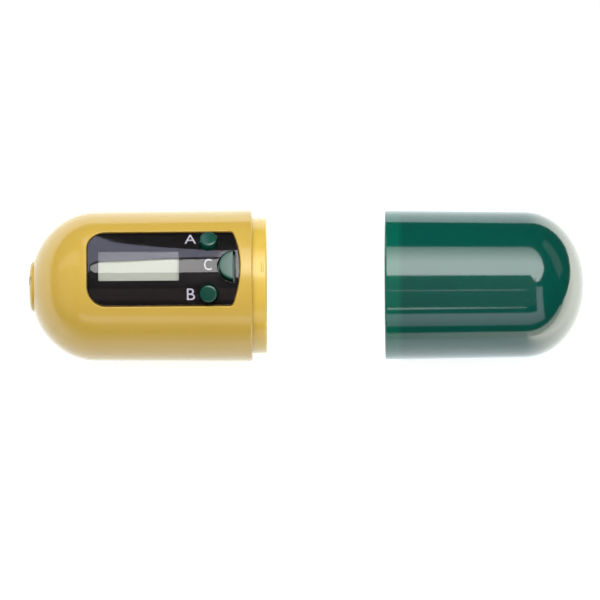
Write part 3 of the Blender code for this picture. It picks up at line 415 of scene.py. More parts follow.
def spread(points, longest):
    """The same closed outline with its long straight runs divided."""
    made = []
    for (ax, ay), (bx, by) in zip(points, points[1:] + points[:1]):
        steps = max(1, math.ceil(math.hypot(bx - ax, by - ay) / longest))
        made += [(ax + (bx - ax) * i / steps, ay + (by - ay) * i / steps) for i in range(steps)]
    return made


def panel_outline(grow):
    """Wide round corners at the dome end, a shallow arc between tight corners at the other."""
    corner, tight, end = 4.4 * MM, 0.9 * MM, 23.6 * MM
    left, side = PANEL_LEFT_X + corner, PANEL_HALF - corner
    centre, low = PANEL_RIGHT_X - end, PANEL_HALF - tight
    right = centre + math.sqrt((end - tight) ** 2 - low**2)
    meet = math.degrees(math.asin(low / (end - tight)))
    across = [side * (1 - i / 6) for i in range(1, 12)]
    along = [left + (right - left) * i / 40 for i in range(1, 40)]
    return (
        arc(centre, 0, end + grow, -meet, meet, 20)
        + arc(right, low, tight + grow, meet, 90, 6)[1:]
        + [(x, PANEL_HALF + grow) for x in reversed(along)]
        + arc(left, side, corner + grow, 90, 180, 14)
        + [(PANEL_LEFT_X - grow, y) for y in across]
        + arc(left, -side, corner + grow, 180, 270, 14)
        + [(x, -PANEL_HALF - grow) for x in along]
        + arc(right, -low, tight + grow, 270, 360 - meet, 6)[:-1]
    )


def moon_outline(grow):
    """Half-moon with its round side to the dome."""
    radius = MOON_R + grow
    corner = math.degrees(math.acos(grow / radius))
    flat = [(MOON_X + grow, y * radius * math.sin(math.radians(corner))) for y in (-0.5, 0.0, 0.5)]
    return arc(MOON_X, 0, radius, corner, 360 - corner, 40) + flat


def at_height(points, height):
    return [(x, y, height) for x, y in points]


def below(points, depth):
    """Flat outline points brought to a depth under the casing's surface."""
    return [(x, y, math.sqrt((casing_radius(x) - depth) ** 2 - y**2)) for x, y in points]


def prism(name, points, low, high, place=TO_PANEL, finish=None):
    return loft(name, [at_height(points, low), at_height(points, high)], finish, place)


def circle(radius, steps=48, cx=0.0, cy=0.0):
    return arc(cx, cy, radius, 0, 360, steps)[:-1]


def key_place(tilt):
    """Where a round key's own axis stands: through the capsule's axis, tilted from the panel's."""
    return TO_PANEL @ Matrix.Rotation(-tilt, 4, "X") @ Matrix.Translation((KEY_X, 0, 0))


def boss_places(angle):
    """The turn to a screw boss round the panel's axis, and the place of the boss's own axis."""
    spoke = TO_PANEL @ Matrix.Rotation(math.radians(angle), 4, "X")
    return spoke, spoke @ Matrix.Translation((0, 0, -BOSS_OUT)) @ Matrix.Rotation(QUARTER, 4, "Y")


def true_normals(obj, radius_at):
    """Shades what lies on a turned surface with that surface's own normals, cuts or no cuts."""
    mesh = obj.data
    near, along_it = 0.01 * MM, 0.94
    normals = [Vector()] * len(mesh.loops)
    for face in mesh.polygons:
        for loop in face.loop_indices:
            x, y, z = mesh.vertices[mesh.loops[loop].vertex_index].co
            z -= AXIS_Z
            radius = math.hypot(y, z)
            if radius < 1 * MM or abs(radius - radius_at(x)) > near:
                continue
            slope = (radius_at(x + near) - radius_at(x - near)) / (2 * near)
            normal = Vector((-slope, y / radius, z / radius)).normalized()
            if normal.dot(face.normal) > along_it:
                normals[loop] = normal
    mesh.normals_split_custom_set(normals)


yellow = moulded("yellow_plastic", (0.69, 0.462, 0.080), (0.67, 0.440, 0.073), 0.16)

casing_inner = dome(DOME_X, CASING_WALL - DOME_DEPTH, DOME_R - CASING_WALL, COLLAR_R, 16)[::-1]
casing_profile = (
    rim(SHOULDER_X, SHOULDER_R, SHOULDER_LIP, -1)
    + dome(DOME_X, -DOME_DEPTH, DOME_R, COVER_RECESS_R + 0.15 * MM)
    + [
        (-63.42 * MM, COVER_RECESS_R),
        (RECESS_X, COVER_RECESS_R),
        (RECESS_X, LEDGE_R),
        (LEDGE_X, LEDGE_R),
        (LEDGE_X, CHAMBER_R),
        (COLLAR_X, CHAMBER_R),
        (COLLAR_X, COLLAR_R),
    ]
    + casing_inner
    + [
        (NECK_STOP_X, casing_radius(NECK_STOP_X) - CASING_WALL),
        (NECK_STOP_X, NECK_BORE),
        (SHOULDER_X, NECK_BORE),
    ]
)
casing = turned("casing", casing_profile + casing_profile[:1], yellow)

seat = prism("seat", panel_outline(SEAT_WALL), 12 * MM, 17 * MM)
seat_run = [NECK_STOP_X + (PANEL_LEFT_X - 2 * MM - NECK_STOP_X) * i / 30 for i in range(31)]
seat_band = [(x, casing_radius(x) - PANEL_FLOOR + 0.4 * MM) for x in seat_run]
seat_band += [(x, casing_radius(x) - PANEL_FLOOR - SEAT_WALL) for x in reversed(seat_run)]
cut(seat, turned("seat_band", seat_band + seat_band[:1], None), "INTERSECT")
cut(casing, seat, "UNION")
for well_tilt in (KEY_TILT, -KEY_TILT):
    well = prism("well", circle(WELL_R), WELL_LOW, WELL_TOP, key_place(well_tilt))
    cut(casing, well, "UNION")
cut(casing, prism("well", moon_outline(MOON_WELL), MOON_WELL_LOW, WELL_TOP), "UNION")
for boss_angle in BOSS_ANGLES:
    spoke, lie = boss_places(boss_angle)
    cut(casing, prism("boss", circle(BOSS_R), BOSS_X, NECK_STOP_X, lie), "UNION")
    corners = [(BOSS_X, -RIB_HALF), (NECK_STOP_X, -RIB_HALF)]
    corners += [(NECK_STOP_X, RIB_HALF), (BOSS_X, RIB_HALF)]
    cut(casing, prism("rib", corners, -16.2 * MM, -BOSS_OUT, spoke), "UNION")
    cut(casing, prism("pilot", circle(SCREW_HOLE_R), -21.0 * MM, -10 * MM, lie))

recess_steps = [math.radians(a) for a in (0, 15, 30, 45, 60, 72)]
recess_rings = [at_height(panel_outline(0), 8 * MM)]
for lean in recess_steps:
    flare = panel_outline(RECESS_EDGE * (1 - math.cos(lean)))
    recess_rings.append(below(flare, RECESS_EDGE * (1 - math.sin(lean))))
top_flare = panel_outline(RECESS_EDGE * (1 - math.cos(recess_steps[-1])) + 0.5 * MM)
recess_rings.append(at_height(top_flare, 22 * MM))
recess = loft("recess", recess_rings)
floor_run = [SHOULDER_X + (PANEL_LEFT_X - 2 * MM - SHOULDER_X) * i / 30 for i in range(31)]
floor_line = [(x, casing_radius(x) - PANEL_FLOOR) for x in floor_run]
core_line = [(floor_run[0], 0), *floor_line, (floor_run[-1], 0)]
cut(recess, turned("recess_core", core_line, None))
cut(casing, recess)
glass_low, glass_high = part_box("display_glass")
room_left, room_right = glass_low[0] - GLASS_ROOM, glass_high[0] + GLASS_ROOM
room_corners = [(room_left, -GLASS_ROOM_HALF), (room_right, -GLASS_ROOM_HALF)]
room_corners += [(room_right, GLASS_ROOM_HALF), (room_left, GLASS_ROOM_HALF)]
cut(casing, prism("glass_room", spread(room_corners, 2 * MM), 8 * MM, 16.6 * MM))
for well_tilt in (KEY_TILT, -KEY_TILT):
    spot = key_place(well_tilt)
    cut(casing, prism("pocket", circle(POCKET_R), POCKET_LOW, POCKET_TOP, spot))
    cut(casing, prism("guide", circle(GUIDE_R), GUIDE_LOW, GUIDE_TOP, spot))
cut(casing, prism("pocket", moon_outline(MOON_POCKET), MOON_POCKET_LOW, POCKET_TOP))
cut(casing, prism("guide", circle(GUIDE_R, 48, MOON_STEM_X), GUIDE_LOW, GUIDE_TOP))
true_normals(casing, casing_radius)
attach(casing, "timer")
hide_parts("body_shell")


# Display: a liquid crystal cell, switched off, over a pale grey-green reflector. The cell's far side
# is painted dark grey as painted shade. They stand in a white frame on two banded contact rubbers.
# The cell drops into the casing's opening from outside.
DISPLAY_TINT = (0.37, 0.40, 0.30)
PAINTED_SHADE_FROM = 6.75 * MM
PAINTED_SHADE_SLANT = 0.034

cell_finish, tree = new_finish("display_glass")
cloud = tree.noise(90.0, 2.0)
segments = tree.noise(260.0, 0.0)
colour = cloud.mixed((*DISPLAY_TINT, 1.0), (0.39, 0.42, 0.32, 1.0))
# Painted shade: past a slanted line along the cell's far side, its base colour turns dark grey.
slanted = tree.coordinate("Y") - tree.coordinate("X") * PAINTED_SHADE_SLANT
shade = ((slanted - PAINTED_SHADE_FROM) * 4000.0).clamped()
shader = tree.principled(
    {
        "Base Color": shade.mixed(colour, (0.02, 0.02, 0.028, 1.0)),
        "Roughness": segments * 0.06 + 0.22,
        "Coat Weight": 0.1,
        "Coat Roughness": 0.04,
    }
)
finished(cell_finish, shader, DISPLAY_TINT)
reflector_finish = moulded("display_backing", (0.62, 0.66, 0.54), (0.58, 0.62, 0.50), 0.45)
white_finish = moulded("white_plastic", (0.78, 0.78, 0.75), (0.74, 0.74, 0.71), 0.45)

rubber_finish, tree = new_finish("contact_rubber")
bands = tree.node(
    "ShaderNodeTexWave",
    {"bands_direction": "X"},
    {"Vector": tree.node("ShaderNodeTexCoord", outlet="Object"), "Scale": 620.0},
)
sharp_bands = ((bands - 0.5) * 6.0).clamped()
shader = tree.principled(
    {
        "Base Color": sharp_bands.mixed((0.025, 0.025, 0.03, 1.0), (0.62, 0.30, 0.28, 1.0)),
        "Roughness": sharp_bands * 0.15 + 0.60,
    }
)
finished(rubber_finish, shader, (0.3, 0.15, 0.15))


def dress(finish, *names):
    """A carried-over node keeps its shape and takes a finish."""
    for name in names:
        for place in nodes[name].material_slots:
            place.material = finish


dress(cell_finish, "display_glass")
dress(reflector_finish, "display_reflector")
dress(white_finish, "display_frame")
dress(rubber_finish, "contact_rubber_1", "contact_rubber_2")


# Keys: three green mouldings with a flange that the panel traps. Two are round, one is a half-moon
# at the panel's end. Their tops are lightly crowned and rounded at the edge.
KEY_R = 1.97 * MM
KEY_TOP = casing_radius(KEY_X) + 1.1 * MM
KEY_EDGE = 0.16 * MM
KEY_CHAMFER = 0.30 * MM
CHAMFER_FALL = 0.09 * MM
KEY_FLANGE = 2.87 * MM
FLANGE_TOP = 15.2 * MM
FLANGE_LOW = 14.6 * MM
STEM_R = 1.1 * MM
CROWN = 0.05 * MM
MOON_TOP = casing_radius(MOON_X) + 0.9 * MM
MOON_LOW = 14.4 * MM
MOON_FLANGE = 0.75 * MM
MOON_FLANGE_LOW = 14.25 * MM
MOON_FLANGE_TOP = 14.85 * MM
MOON_STEM_LOW = 11.1 * MM
MOON_STEM_TOP = 14.6 * MM

green = moulded("key_green_plastic", (0.001, 0.070, 0.044), (0.001, 0.060, 0.038), 0.22)

for key_name, key_tilt in (("key_a", KEY_TILT), ("key_b", -KEY_TILT)):
    out = key_place(key_tilt).to_3x3() @ Vector((0, 0, 1))
    stem_end = (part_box(key_name)[0][2] - AXIS_Z + STEM_R * math.hypot(out.x, out.y)) / out.z
    flat_r = KEY_R - KEY_EDGE - KEY_CHAMFER
    head = [(KEY_TOP - CROWN * (i / 8) ** 2, flat_r * i / 8) for i in range(9)]
    head.append((KEY_TOP - CROWN - 0.01 * MM, flat_r + 0.05 * MM))
    edge = []
    for lean in (15, 40, 65, 90):
        fall = KEY_EDGE * (1 - math.cos(math.radians(lean)))
        inset = KEY_EDGE * (1 - math.sin(math.radians(lean)))
        edge.append((KEY_TOP - CROWN - CHAMFER_FALL - fall, KEY_R - inset))
    foot = [(FLANGE_TOP, KEY_R), (FLANGE_TOP, KEY_FLANGE), (FLANGE_LOW, KEY_FLANGE)]
    foot += [(FLANGE_LOW, STEM_R), (stem_end, STEM_R), (stem_end, 0)]
    key = turned(key_name + "_moulding", head + edge + foot, green, 96)
    upright = Matrix.Rotation(-QUARTER, 4, "Y") @ Matrix.Translation((0, 0, -AXIS_Z))
    key.data.transform(key_place(key_tilt) @ upright)
    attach(key, key_name)
    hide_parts(key_name)

moon_rings = [at_height(moon_outline(0), MOON_LOW)]
for lean in (0, 22, 45, 67, 90):
    fall = KEY_EDGE * (1 - math.sin(math.radians(lean)))
    inset = -KEY_EDGE * (1 - math.cos(math.radians(lean)))
    moon_rings.append(at_height(moon_outline(inset), MOON_TOP - CROWN - fall))
for share in (0.25, 0.5, 0.75):
    inset = -KEY_EDGE - share * (MOON_R - KEY_EDGE) * 0.55
    moon_rings.append(at_height(moon_outline(inset), MOON_TOP - CROWN * (1 - share) ** 2))
moon = loft("key_c_moulding", moon_rings, green)
moon_foot = moon_outline(MOON_FLANGE)
cut(moon, prism("moon_flange", moon_foot, MOON_FLANGE_LOW, MOON_FLANGE_TOP), "UNION")
stem = circle(STEM_R, 32, MOON_STEM_X)
cut(moon, prism("moon_stem", stem, MOON_STEM_LOW, MOON_STEM_TOP), "UNION")
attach(moon, "key_c")
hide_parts("key_c")


# Panel: a clear acrylic plate, bent with the barrel and glued into the recess, over a black printed
# film that leaves the display window and the key holes clear. Its edges are rounded.
LENS_DEPTH = 0.15 * MM
LENS_THICK = 1.10 * MM
LENS_FIT = 0.10 * MM
LENS_EDGE = 0.20 * MM
FILM_FIT = 0.16 * MM
FILM_EDGE = 0.04 * MM
FILM_DEPTH = 1.35 * MM
FILM_THICK = 0.25 * MM
HOLE_FIT = 0.37 * MM
WINDOW_LEFT = PANEL_LEFT_X + 2.72 * MM
WINDOW_RIGHT = KEY_X - 6.82 * MM
WINDOW_NEAR = -3.3 * MM
WINDOW_FAR = 4.3 * MM


def window_outline(grow):
    left, right, near, far, corner = WINDOW_LEFT, WINDOW_RIGHT, WINDOW_NEAR, WINDOW_FAR, 0.3 * MM
    radius = corner + grow
    points = arc(right - corner, far - corner, radius, 0, 90, 5)
    points += arc(left + corner, far - corner, radius, 90, 180, 5)
    points += arc(left + corner, near + corner, radius, 180, 270, 5)
    points += arc(right - corner, near + corner, radius, 270, 360, 5)
    divided = []
    for i, (ax, ay) in enumerate(points):
        bx, by = points[(i + 1) % len(points)]
        steps = (18 if i % 12 == 5 else 6) if i in (5, 11, 17, 23) else 1
        divided += [(ax + (bx - ax) * k / steps, ay + (by - ay) * k / steps) for k in range(steps)]
    return divided


def round_key_outline(tilt):
    """A round hole square to the surface, as flat points over the barrel."""

    def outline(grow):
        radius = casing_radius(KEY_X)
        points = []
        for x, y in circle(KEY_R + HOLE_FIT + grow, 64, KEY_X):
            turn = tilt + math.asin(y / radius)
            points.append((x, casing_radius(x) * math.sin(turn)))
        return points

    return outline


def inside(point, outline):
    """Whether a flat point lies within a closed outline."""
    x, y = point
    hit = False
    for (ax, ay), (bx, by) in zip(outline, outline[1:] + outline[:1]):
        if (ay > y) != (by > y) and x < ax + (y - ay) * (bx - ax) / (by - ay):
            hit = not hit
    return hit


def bent_plate(name, border, holes, depth, thick, edge, *finishes):
    """A plate bent round the capsule's axis, with rounded upper edges, from its flat outlines.

    Its finishes are those of the face, the back and the edges, or one for all."""

    def unrolled(points):
        return [(x, DOME_R * math.asin(y / casing_radius(x))) for x, y in points]

    leans = [math.radians(a) for a in (22.5, 45, 67.5, 90)]
    pitch, apart = 0.9, 0.4
    edges = [(border, -1), *((hole, 1) for hole in holes)]
    inner = [unrolled(shape(way * edge)) for shape, way in edges]
    scale = 1 / MM
    flat, ties = [], []
    for points in inner:
        first = len(flat)
        flat += [Vector((x * scale, a * scale)) for x, a in points]
        ties += [(first + i, first + (i + 1) % len(points)) for i in range(len(points))]
    taken = list(flat)
    low_x, high_x = min(p.x for p in taken), max(p.x for p in taken)
    for i in range(int((high_x - low_x) / pitch) + 1):
        for k in range(-11, 12):
            spot = Vector((low_x + pitch * i, k * pitch))
            flat_spot = (spot.x / scale, spot.y / scale)
            within = inside(flat_spot, inner[0]) and not any(inside(flat_spot, h) for h in inner[1:])
            if within and min((spot - p).length for p in taken) > apart:
                flat.append(spot)
    out, _, faces, origin, _, _ = delaunay_2d_cdt(flat, ties, [], 0, 1e-5)
    place_of = {source: i for i, sources in enumerate(origin) for source in sources}

    def bent(x, around, under):
        turn = around / DOME_R
        radius = casing_radius(x) - under
        return (x, radius * math.sin(turn), radius * math.cos(turn))

    work = bmesh.new()
    upper = [work.verts.new(bent(p.x / scale, p.y / scale, depth)) for p in out]
    lower = [work.verts.new(bent(p.x / scale, p.y / scale, depth + thick)) for p in out]
    for a, b, c in faces:
        middle = (out[a] + out[b] + out[c]) / (3 * scale)
        if inside(middle, inner[0]) and not any(inside(middle, hole) for hole in inner[1:]):
            work.faces.new((upper[a], upper[b], upper[c]))
            work.faces.new((lower[c], lower[b], lower[a])).material_index = 1
    first = 0
    for (shape, way), points in zip(edges, inner):
        ids = [place_of[first + i] for i in range(len(points))]
        first += len(points)
        rings = [[upper[i] for i in ids]]
        for lean in leans:
            outline = unrolled(shape(way * edge * (1 - math.sin(lean))))
            under = depth + edge * (1 - math.cos(lean))
            rings.append([work.verts.new(bent(x, a, under)) for x, a in outline])
        outline = unrolled(shape(0))
        rings.append([work.verts.new(bent(x, a, depth + thick)) for x, a in outline])
        rings.append([lower[i] for i in ids])
        for near, far, part in zip(rings, rings[1:], (0, 0, 0, 0, 2, 2)):
            for i in range(len(near)):
                j = (i + 1) % len(near)
                work.faces.new((near[i], near[j], far[j], far[i])).material_index = part
    loose = [v for v in work.verts if not v.link_faces]
    bmesh.ops.delete(work, geom=loose, context="VERTS")
    work.transform(TO_PANEL)
    mesh = as_mesh(name, work)
    for finish in finishes:
        mesh.materials.append(finish)
    if len(finishes) == 1:
        mesh.polygons.foreach_set("material_index", [0] * len(mesh.polygons))
    mesh.shade_smooth()
    mesh.set_sharp_from_angle(angle=SHARP)
    obj = new_object(name, mesh)
    true_normals(obj, lambda x: casing_radius(x) - depth)
    return obj


clear, tree = new_finish("clear_acrylic")
smears = tree.noise(55.0, 4.0, (1, 3, 3))
hairs = (tree.noise(40.0, 3.0, (1, 60, 60), (0.0, 0.1, 0.4)) - 0.68) * 6.0
glassy = tree.principled(
    {
        "Base Color": (0.97, 0.97, 0.97, 1.0),
        "Roughness": smears * 0.03 + hairs.clamped() * 0.08 + 0.012,
        "IOR": 1.58,
        "Transmission Weight": 1.0,
    }
)
lets_through = tree.node("ShaderNodeBsdfTransparent", None, {"Color": (0.95, 0.95, 0.95, 1.0)})
finished(clear, tree.ray("Shadow").blended(glassy, lets_through), (0.8, 0.8, 0.8))
black_film = moulded(
    "black_film",
    (0.006, 0.005, 0.005),
    (0.010, 0.007, 0.007),
    0.40,
    uniform={"Specular IOR Level": 0.05},
)
glue, tree = new_finish("clear_glue")
haze = tree.noise(60.0, 3.0)
shader = tree.principled({"Base Color": (0.02, 0.02, 0.02, 1.0), "Alpha": haze * 0.02})
finished(glue, shader, (0.8, 0.8, 0.8))


def lens_outline(grow):
    return panel_outline(grow - LENS_FIT)


def film_outline(grow):
    return panel_outline(grow - FILM_FIT)


def moon_hole(grow):
    return moon_outline(HOLE_FIT + grow)


key_holes = [round_key_outline(KEY_TILT), round_key_outline(-KEY_TILT), moon_hole]
# The lens's side wall and back edge take the black film's finish: painted shade for the dark outline
# round the panel.
lens = bent_plate(
    "panel_plate",
    lens_outline,
    key_holes,
    LENS_DEPTH,
    LENS_THICK,
    LENS_EDGE,
    clear,
    glue,
    black_film,
)
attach(lens, "timer")
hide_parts("panel_lens")
film = bent_plate(
    "panel_film",
    film_outline,
    [*key_holes, window_outline],
    FILM_DEPTH,
    FILM_THICK,
    FILM_EDGE,
    black_film,
)
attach(film, "timer")
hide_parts("panel_mask")


# Key letters: plain A, B and C, printed in white ink on the film beside their keys.
LETTER_HEIGHT = 2.85 * MM
LETTERS = (("A", 2.66, -27.12, 25.3), ("B", 1.88, -27.00, -22.0), ("C", 1.80, -23.05, 2.0))
INK_DEPTH = 1.31 * MM

ink = moulded("white_ink", (0.74, 0.72, 0.80), (0.68, 0.66, 0.76), 0.5, peel=0.02)

for letter, letter_width, letter_x, letter_turn in LETTERS:
    text = bpy.data.curves.new("letter_" + letter, "FONT")
    text.body = letter
    text.resolution_u = 6
    flat_letter = new_object("letter_" + letter, text)
    bpy.context.view_layer.update()
    mesh = evaluated(flat_letter)
    bpy.data.objects.remove(flat_letter, do_unlink=True)
    work = bmesh.new()
    work.from_mesh(mesh)
    bmesh.ops.remove_doubles(work, verts=work.verts, dist=WELD)
    xs = [v.co.x for v in work.verts]
    ys = [v.co.y for v in work.verts]
    size = (letter_width * MM / (max(xs) - min(xs)), LETTER_HEIGHT / (max(ys) - min(ys)))
    middle = ((max(xs) + min(xs)) / 2, (max(ys) + min(ys)) / 2)
    for v in work.verts:
        v.co = ((v.co.x - middle[0]) * size[0], (v.co.y - middle[1]) * size[1], 0)
    for _ in range(2):
        long = [e for e in work.edges if e.calc_length() > 0.5 * MM]
        bmesh.ops.subdivide_edges(work, edges=long, cuts=1)
    bmesh.ops.triangulate(work, faces=work.faces)
    made = bmesh.ops.extrude_face_region(work, geom=work.faces[:])["geom"]
    back = {v for v in made if isinstance(v, bmesh.types.BMVert)}
    for v in work.verts:
        x = letter_x * MM + v.co.x
        turn = math.radians(letter_turn) + v.co.y / casing_radius(x)
        radius = casing_radius(x) - INK_DEPTH - (0.02 * MM if v in back else 0)
        v.co = (x, radius * math.sin(turn), radius * math.cos(turn))
    work.transform(TO_PANEL)
    bmesh.ops.recalc_face_normals(work, faces=work.faces)
    work.to_mesh(mesh)
    work.free()
    mesh.materials.clear()
    mesh.materials.append(ink)
    print_piece = new_object("print_" + letter.lower(), mesh)
    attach(print_piece, "timer")


# Circuit board with its switches, chip, crystal and capacitor, and the chassis that carries it with
# the sounder disc and its two wires. All of it stands inside the casing.
board_finish, tree = new_finish("circuit_board")
weave = tree.noise(300.0, 2.0)
tracks = tree.node(
    "ShaderNodeTexVoronoi",
    {"feature": "DISTANCE_TO_EDGE"},
    {"Vector": tree.node("ShaderNodeTexCoord", outlet="Object"), "Scale": 320.0},
)
mask = ((tracks - 0.10) * 14.0).clamped()
greens = weave.mixed((0.010, 0.16, 0.045, 1.0), (0.014, 0.20, 0.06, 1.0))
shader = tree.principled(
    {
        "Base Color": mask.mixed((0.02, 0.27, 0.09, 1.0), greens),
        "Roughness": weave * 0.1 + 0.32,
        "Normal": mask.bumped(0.3, 0.04 * MM),
    }
)
finished(board_finish, shader, (0.02, 0.2, 0.06))


def metal(name, colour, dark, rough, stretch):
    """Bare or plated metal with the fine lines of its rolling or drawing."""
    material, tree = new_finish(name)
    lines = tree.noise(500.0, 3.0, stretch)
    stain = tree.noise(140.0, 3.0)
    sockets = {
        "Base Color": stain.mixed((*colour, 1.0), (*dark, 1.0)),
        "Metallic": 1.0,
        "Roughness": lines * 0.16 + (rough - 0.08),
        "Normal": lines.bumped(0.12, 0.02 * MM),
    }
    return finished(material, tree.principled(sockets), colour)


steel = metal("plated_steel", (0.62, 0.62, 0.60), (0.52, 0.52, 0.51), 0.26, (1, 0.1, 1))
brass = metal("brass", (0.76, 0.58, 0.26), (0.62, 0.45, 0.20), 0.30, (0.1, 1, 1))
resin = moulded("chip_resin", (0.018, 0.018, 0.020), (0.026, 0.026, 0.027), 0.42, peel=0.5)
chassis_finish = moulded("chassis_plastic", (0.11, 0.11, 0.115), (0.09, 0.09, 0.095), 0.5, 0.3)
red_cover = moulded("red_wire", (0.58, 0.02, 0.015), (0.50, 0.02, 0.015), 0.4)
black_cover = moulded("black_wire", (0.025, 0.025, 0.025), (0.035, 0.035, 0.035), 0.4)
dress(board_finish, "circuit_board")
dress(steel, "switch_a", "switch_b", "switch_c", "crystal")
dress(resin, "chip_blob", "capacitor")
dress(chassis_finish, "chassis")
dress(brass, "buzzer_disc")
dress(red_cover, "buzzer_wire_red")
dress(black_cover, "buzzer_wire_black")


# Neck: a bright yellow moulding, slightly translucent, pushed into the shoulder. The cap pushes
# onto its collar and snaps over two small bumps. Its bulkhead closes the timer half.
NECK_R = 15.8 * MM
NECK_INNER_R = 14.4 * MM
NECK_END_X = SHOULDER_X + 3.35 * MM
BULKHEAD_X = SHOULDER_X - 0.13 * MM
BULKHEAD_BACK_X = BULKHEAD_X - 1.2 * MM
NECK_LIP = 0.5 * MM
BUMP_X = NECK_END_X - 1.05 * MM
BUMP_LENGTH = 0.35 * MM
BUMP_WIDTH = 1.2 * MM
BUMP_SUNK = 0.3 * MM
BUMP_HEIGHT = 0.5 * MM

clear_yellow = moulded(
    "clear_yellow_plastic",
    (0.80, 0.575, 0.095),
    (0.78, 0.555, 0.088),
    0.22,
    uniform={
        "Subsurface Weight": 0.45,
        "Subsurface Radius": (0.9, 0.6, 0.12),
        "Subsurface Scale": 2.0 * MM,
    },
)
neck_profile = [(BULKHEAD_X, 0), (BULKHEAD_X, NECK_INNER_R - 0.3 * MM)]
neck_profile += [(BULKHEAD_X + 0.09 * MM, NECK_INNER_R - 0.09 * MM)]
neck_profile += [(BULKHEAD_X + 0.3 * MM, NECK_INNER_R), (NECK_END_X - 0.15 * MM, NECK_INNER_R)]
neck_profile += [(NECK_END_X, NECK_INNER_R + 0.15 * MM)]
neck_profile += rim(NECK_END_X, NECK_R, NECK_LIP, -1)
neck_profile += [(BULKHEAD_BACK_X, NECK_R), (BULKHEAD_BACK_X, 0)]
neck = turned("neck", neck_profile, clear_yellow)
for snap_turn in (0, math.pi):
    side = TO_PANEL @ Matrix.Rotation(snap_turn, 4, "X")
    rings = []
    for share in (0.0, 0.35, 0.7, 0.9, 1.0):
        shrink = 1 - 0.6 * share**2
        outline = [
            (BUMP_X + BUMP_LENGTH * shrink * math.cos(t), BUMP_WIDTH * shrink**0.3 * math.sin(t))
            for t in (FULL_TURN * i / 24 for i in range(24))
        ]
        drop = NECK_R - (NECK_R - BUMP_SUNK + BUMP_HEIGHT * math.sin(QUARTER * share))
        rings.append([(x, y, math.sqrt(NECK_R**2 - y**2) - drop) for x, y in outline])
    cut(neck, loft("bump", rings, clear_yellow, side), "UNION")
for boss_angle in BOSS_ANGLES:
    cut(neck, prism("screw_hole", circle(SCREW_HOLE_R), -16 * MM, -11 * MM, boss_places(boss_angle)[1]))
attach(neck, "timer")
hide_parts("neck_cup")


# Screws: three plated self-tapping screws with a short slot in the head. They hold the neck's
# bulkhead to bosses in the casing.
def screw_tree():
    """One screw on every point given: a domed head with a short slot, a shank and its thread."""
    measures = ("Head radius", "Head height", "Shank radius", "Length", "Slot width")
    inputs = [(name, "Float") for name in measures] + [("Finish", "Material")]
    start, given = new_tree("screws on points", inputs)
    points, head_r, head_h, shank_r, length, slit, finish = given

    def moved(shape, **way):
        return start.geometry("Transform", {"Geometry": shape, **way})

    def up(height):
        return start.node("ShaderNodeCombineXYZ", None, {"Z": height})

    def block(wide, deep, high):
        size = start.node("ShaderNodeCombineXYZ", None, {"X": wide, "Y": deep, "Z": high})
        return start.geometry("MeshCube", {"Size": size})

    ball = start.geometry("MeshUVSphere", {"Segments": 40, "Rings": 24, "Radius": head_r})
    squeeze = start.node("ShaderNodeCombineXYZ", None, {"X": 1.0, "Y": 1.0, "Z": head_h / head_r})
    dome_shape = moved(ball, Scale=squeeze)
    below_zero = moved(block(head_r * 4, head_r * 4, head_h * 4), Translation=up(head_h * -2))
    slot = moved(block(head_r * 1.2, slit, head_h * 1.2), Translation=up(head_h * 1.1))
    cut_away = start.geometry("JoinGeometry", {"Geometry": [below_zero, slot]})
    exact = {"operation": "DIFFERENCE", "solver": "EXACT"}
    head = start.geometry("MeshBoolean", {"Mesh 1": dome_shape, "Mesh 2": cut_away}, exact)
    shank = start.geometry("MeshCylinder", {"Vertices": 40, "Radius": shank_r, "Depth": length})
    shank = moved(shank, Translation=up(length * -0.5 + 0.0002))
    helix = start.geometry(
        "CurveSpiral",
        {
            "Resolution": 20,
            "Rotations": 8.0,
            "Start Radius": shank_r,
            "End Radius": shank_r,
            "Height": length * 0.75,
        },
    )
    helix = moved(helix, Translation=up(length * -0.95))
    ridge = start.geometry("CurvePrimitiveCircle", {"Resolution": 5, "Radius": shank_r * 0.13})
    sockets = {"Curve": helix, "Profile Curve": ridge, "Fill Caps": True}
    thread = start.geometry("CurveToMesh", sockets)
    whole = start.geometry("JoinGeometry", {"Geometry": [head, shank, thread]})
    sockets = {"Points": points, "Instance": whole, "Rotation": (0.0, QUARTER, 0.0)}
    return start.ended(start.geometry("InstanceOnPoints", sockets), finish)


under_head = Vector((BULKHEAD_X + 0.3 * MM, 0, -BOSS_OUT))
screws = through_tree(
    "neck_screws",
    [boss_places(angle)[0] @ under_head for angle in BOSS_ANGLES],
    screw_tree(),
    {
        "Head radius": 1.7 * MM,
        "Head height": 1.1 * MM,
        "Shank radius": 0.8 * MM,
        "Length": 6.6 * MM,
        "Slot width": 0.5 * MM,
        "Finish": steel,
    },
)
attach(screws, "timer")
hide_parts("neck_screw_1", "neck_screw_2", "neck_screw_3")


# Cells: two button cells in the chassis tube, with their side contact and the coil spring behind.
dress(steel, "button_cell_1", "button_cell_2", "battery_spring")
dress(brass, "battery_contact")


# Battery cover: a crowned yellow disc with a coin slot, almost flush in the dome's tip. Its skirt
# carries two bayonet lugs behind the casing's ledge.
COVER_R = 5.93 * MM
COVER_TIP_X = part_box("battery_cover")[0][0]
COVER_CROWN = 1.54 * MM
COVER_BACK_X = COVER_TIP_X + 2.94 * MM
LUG_BACK_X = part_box("battery_cover")[1][0]
SKIRT_R = 4.4 * MM
SKIRT_WALL = 1.0 * MM
LUG_R = SKIRT_R + 1.0 * MM
LUG_HALF = 1.9 * MM
SLOT_HALF = 1.0 * MM
SLOT_FLOOR_X = COVER_TIP_X + 0.7 * MM

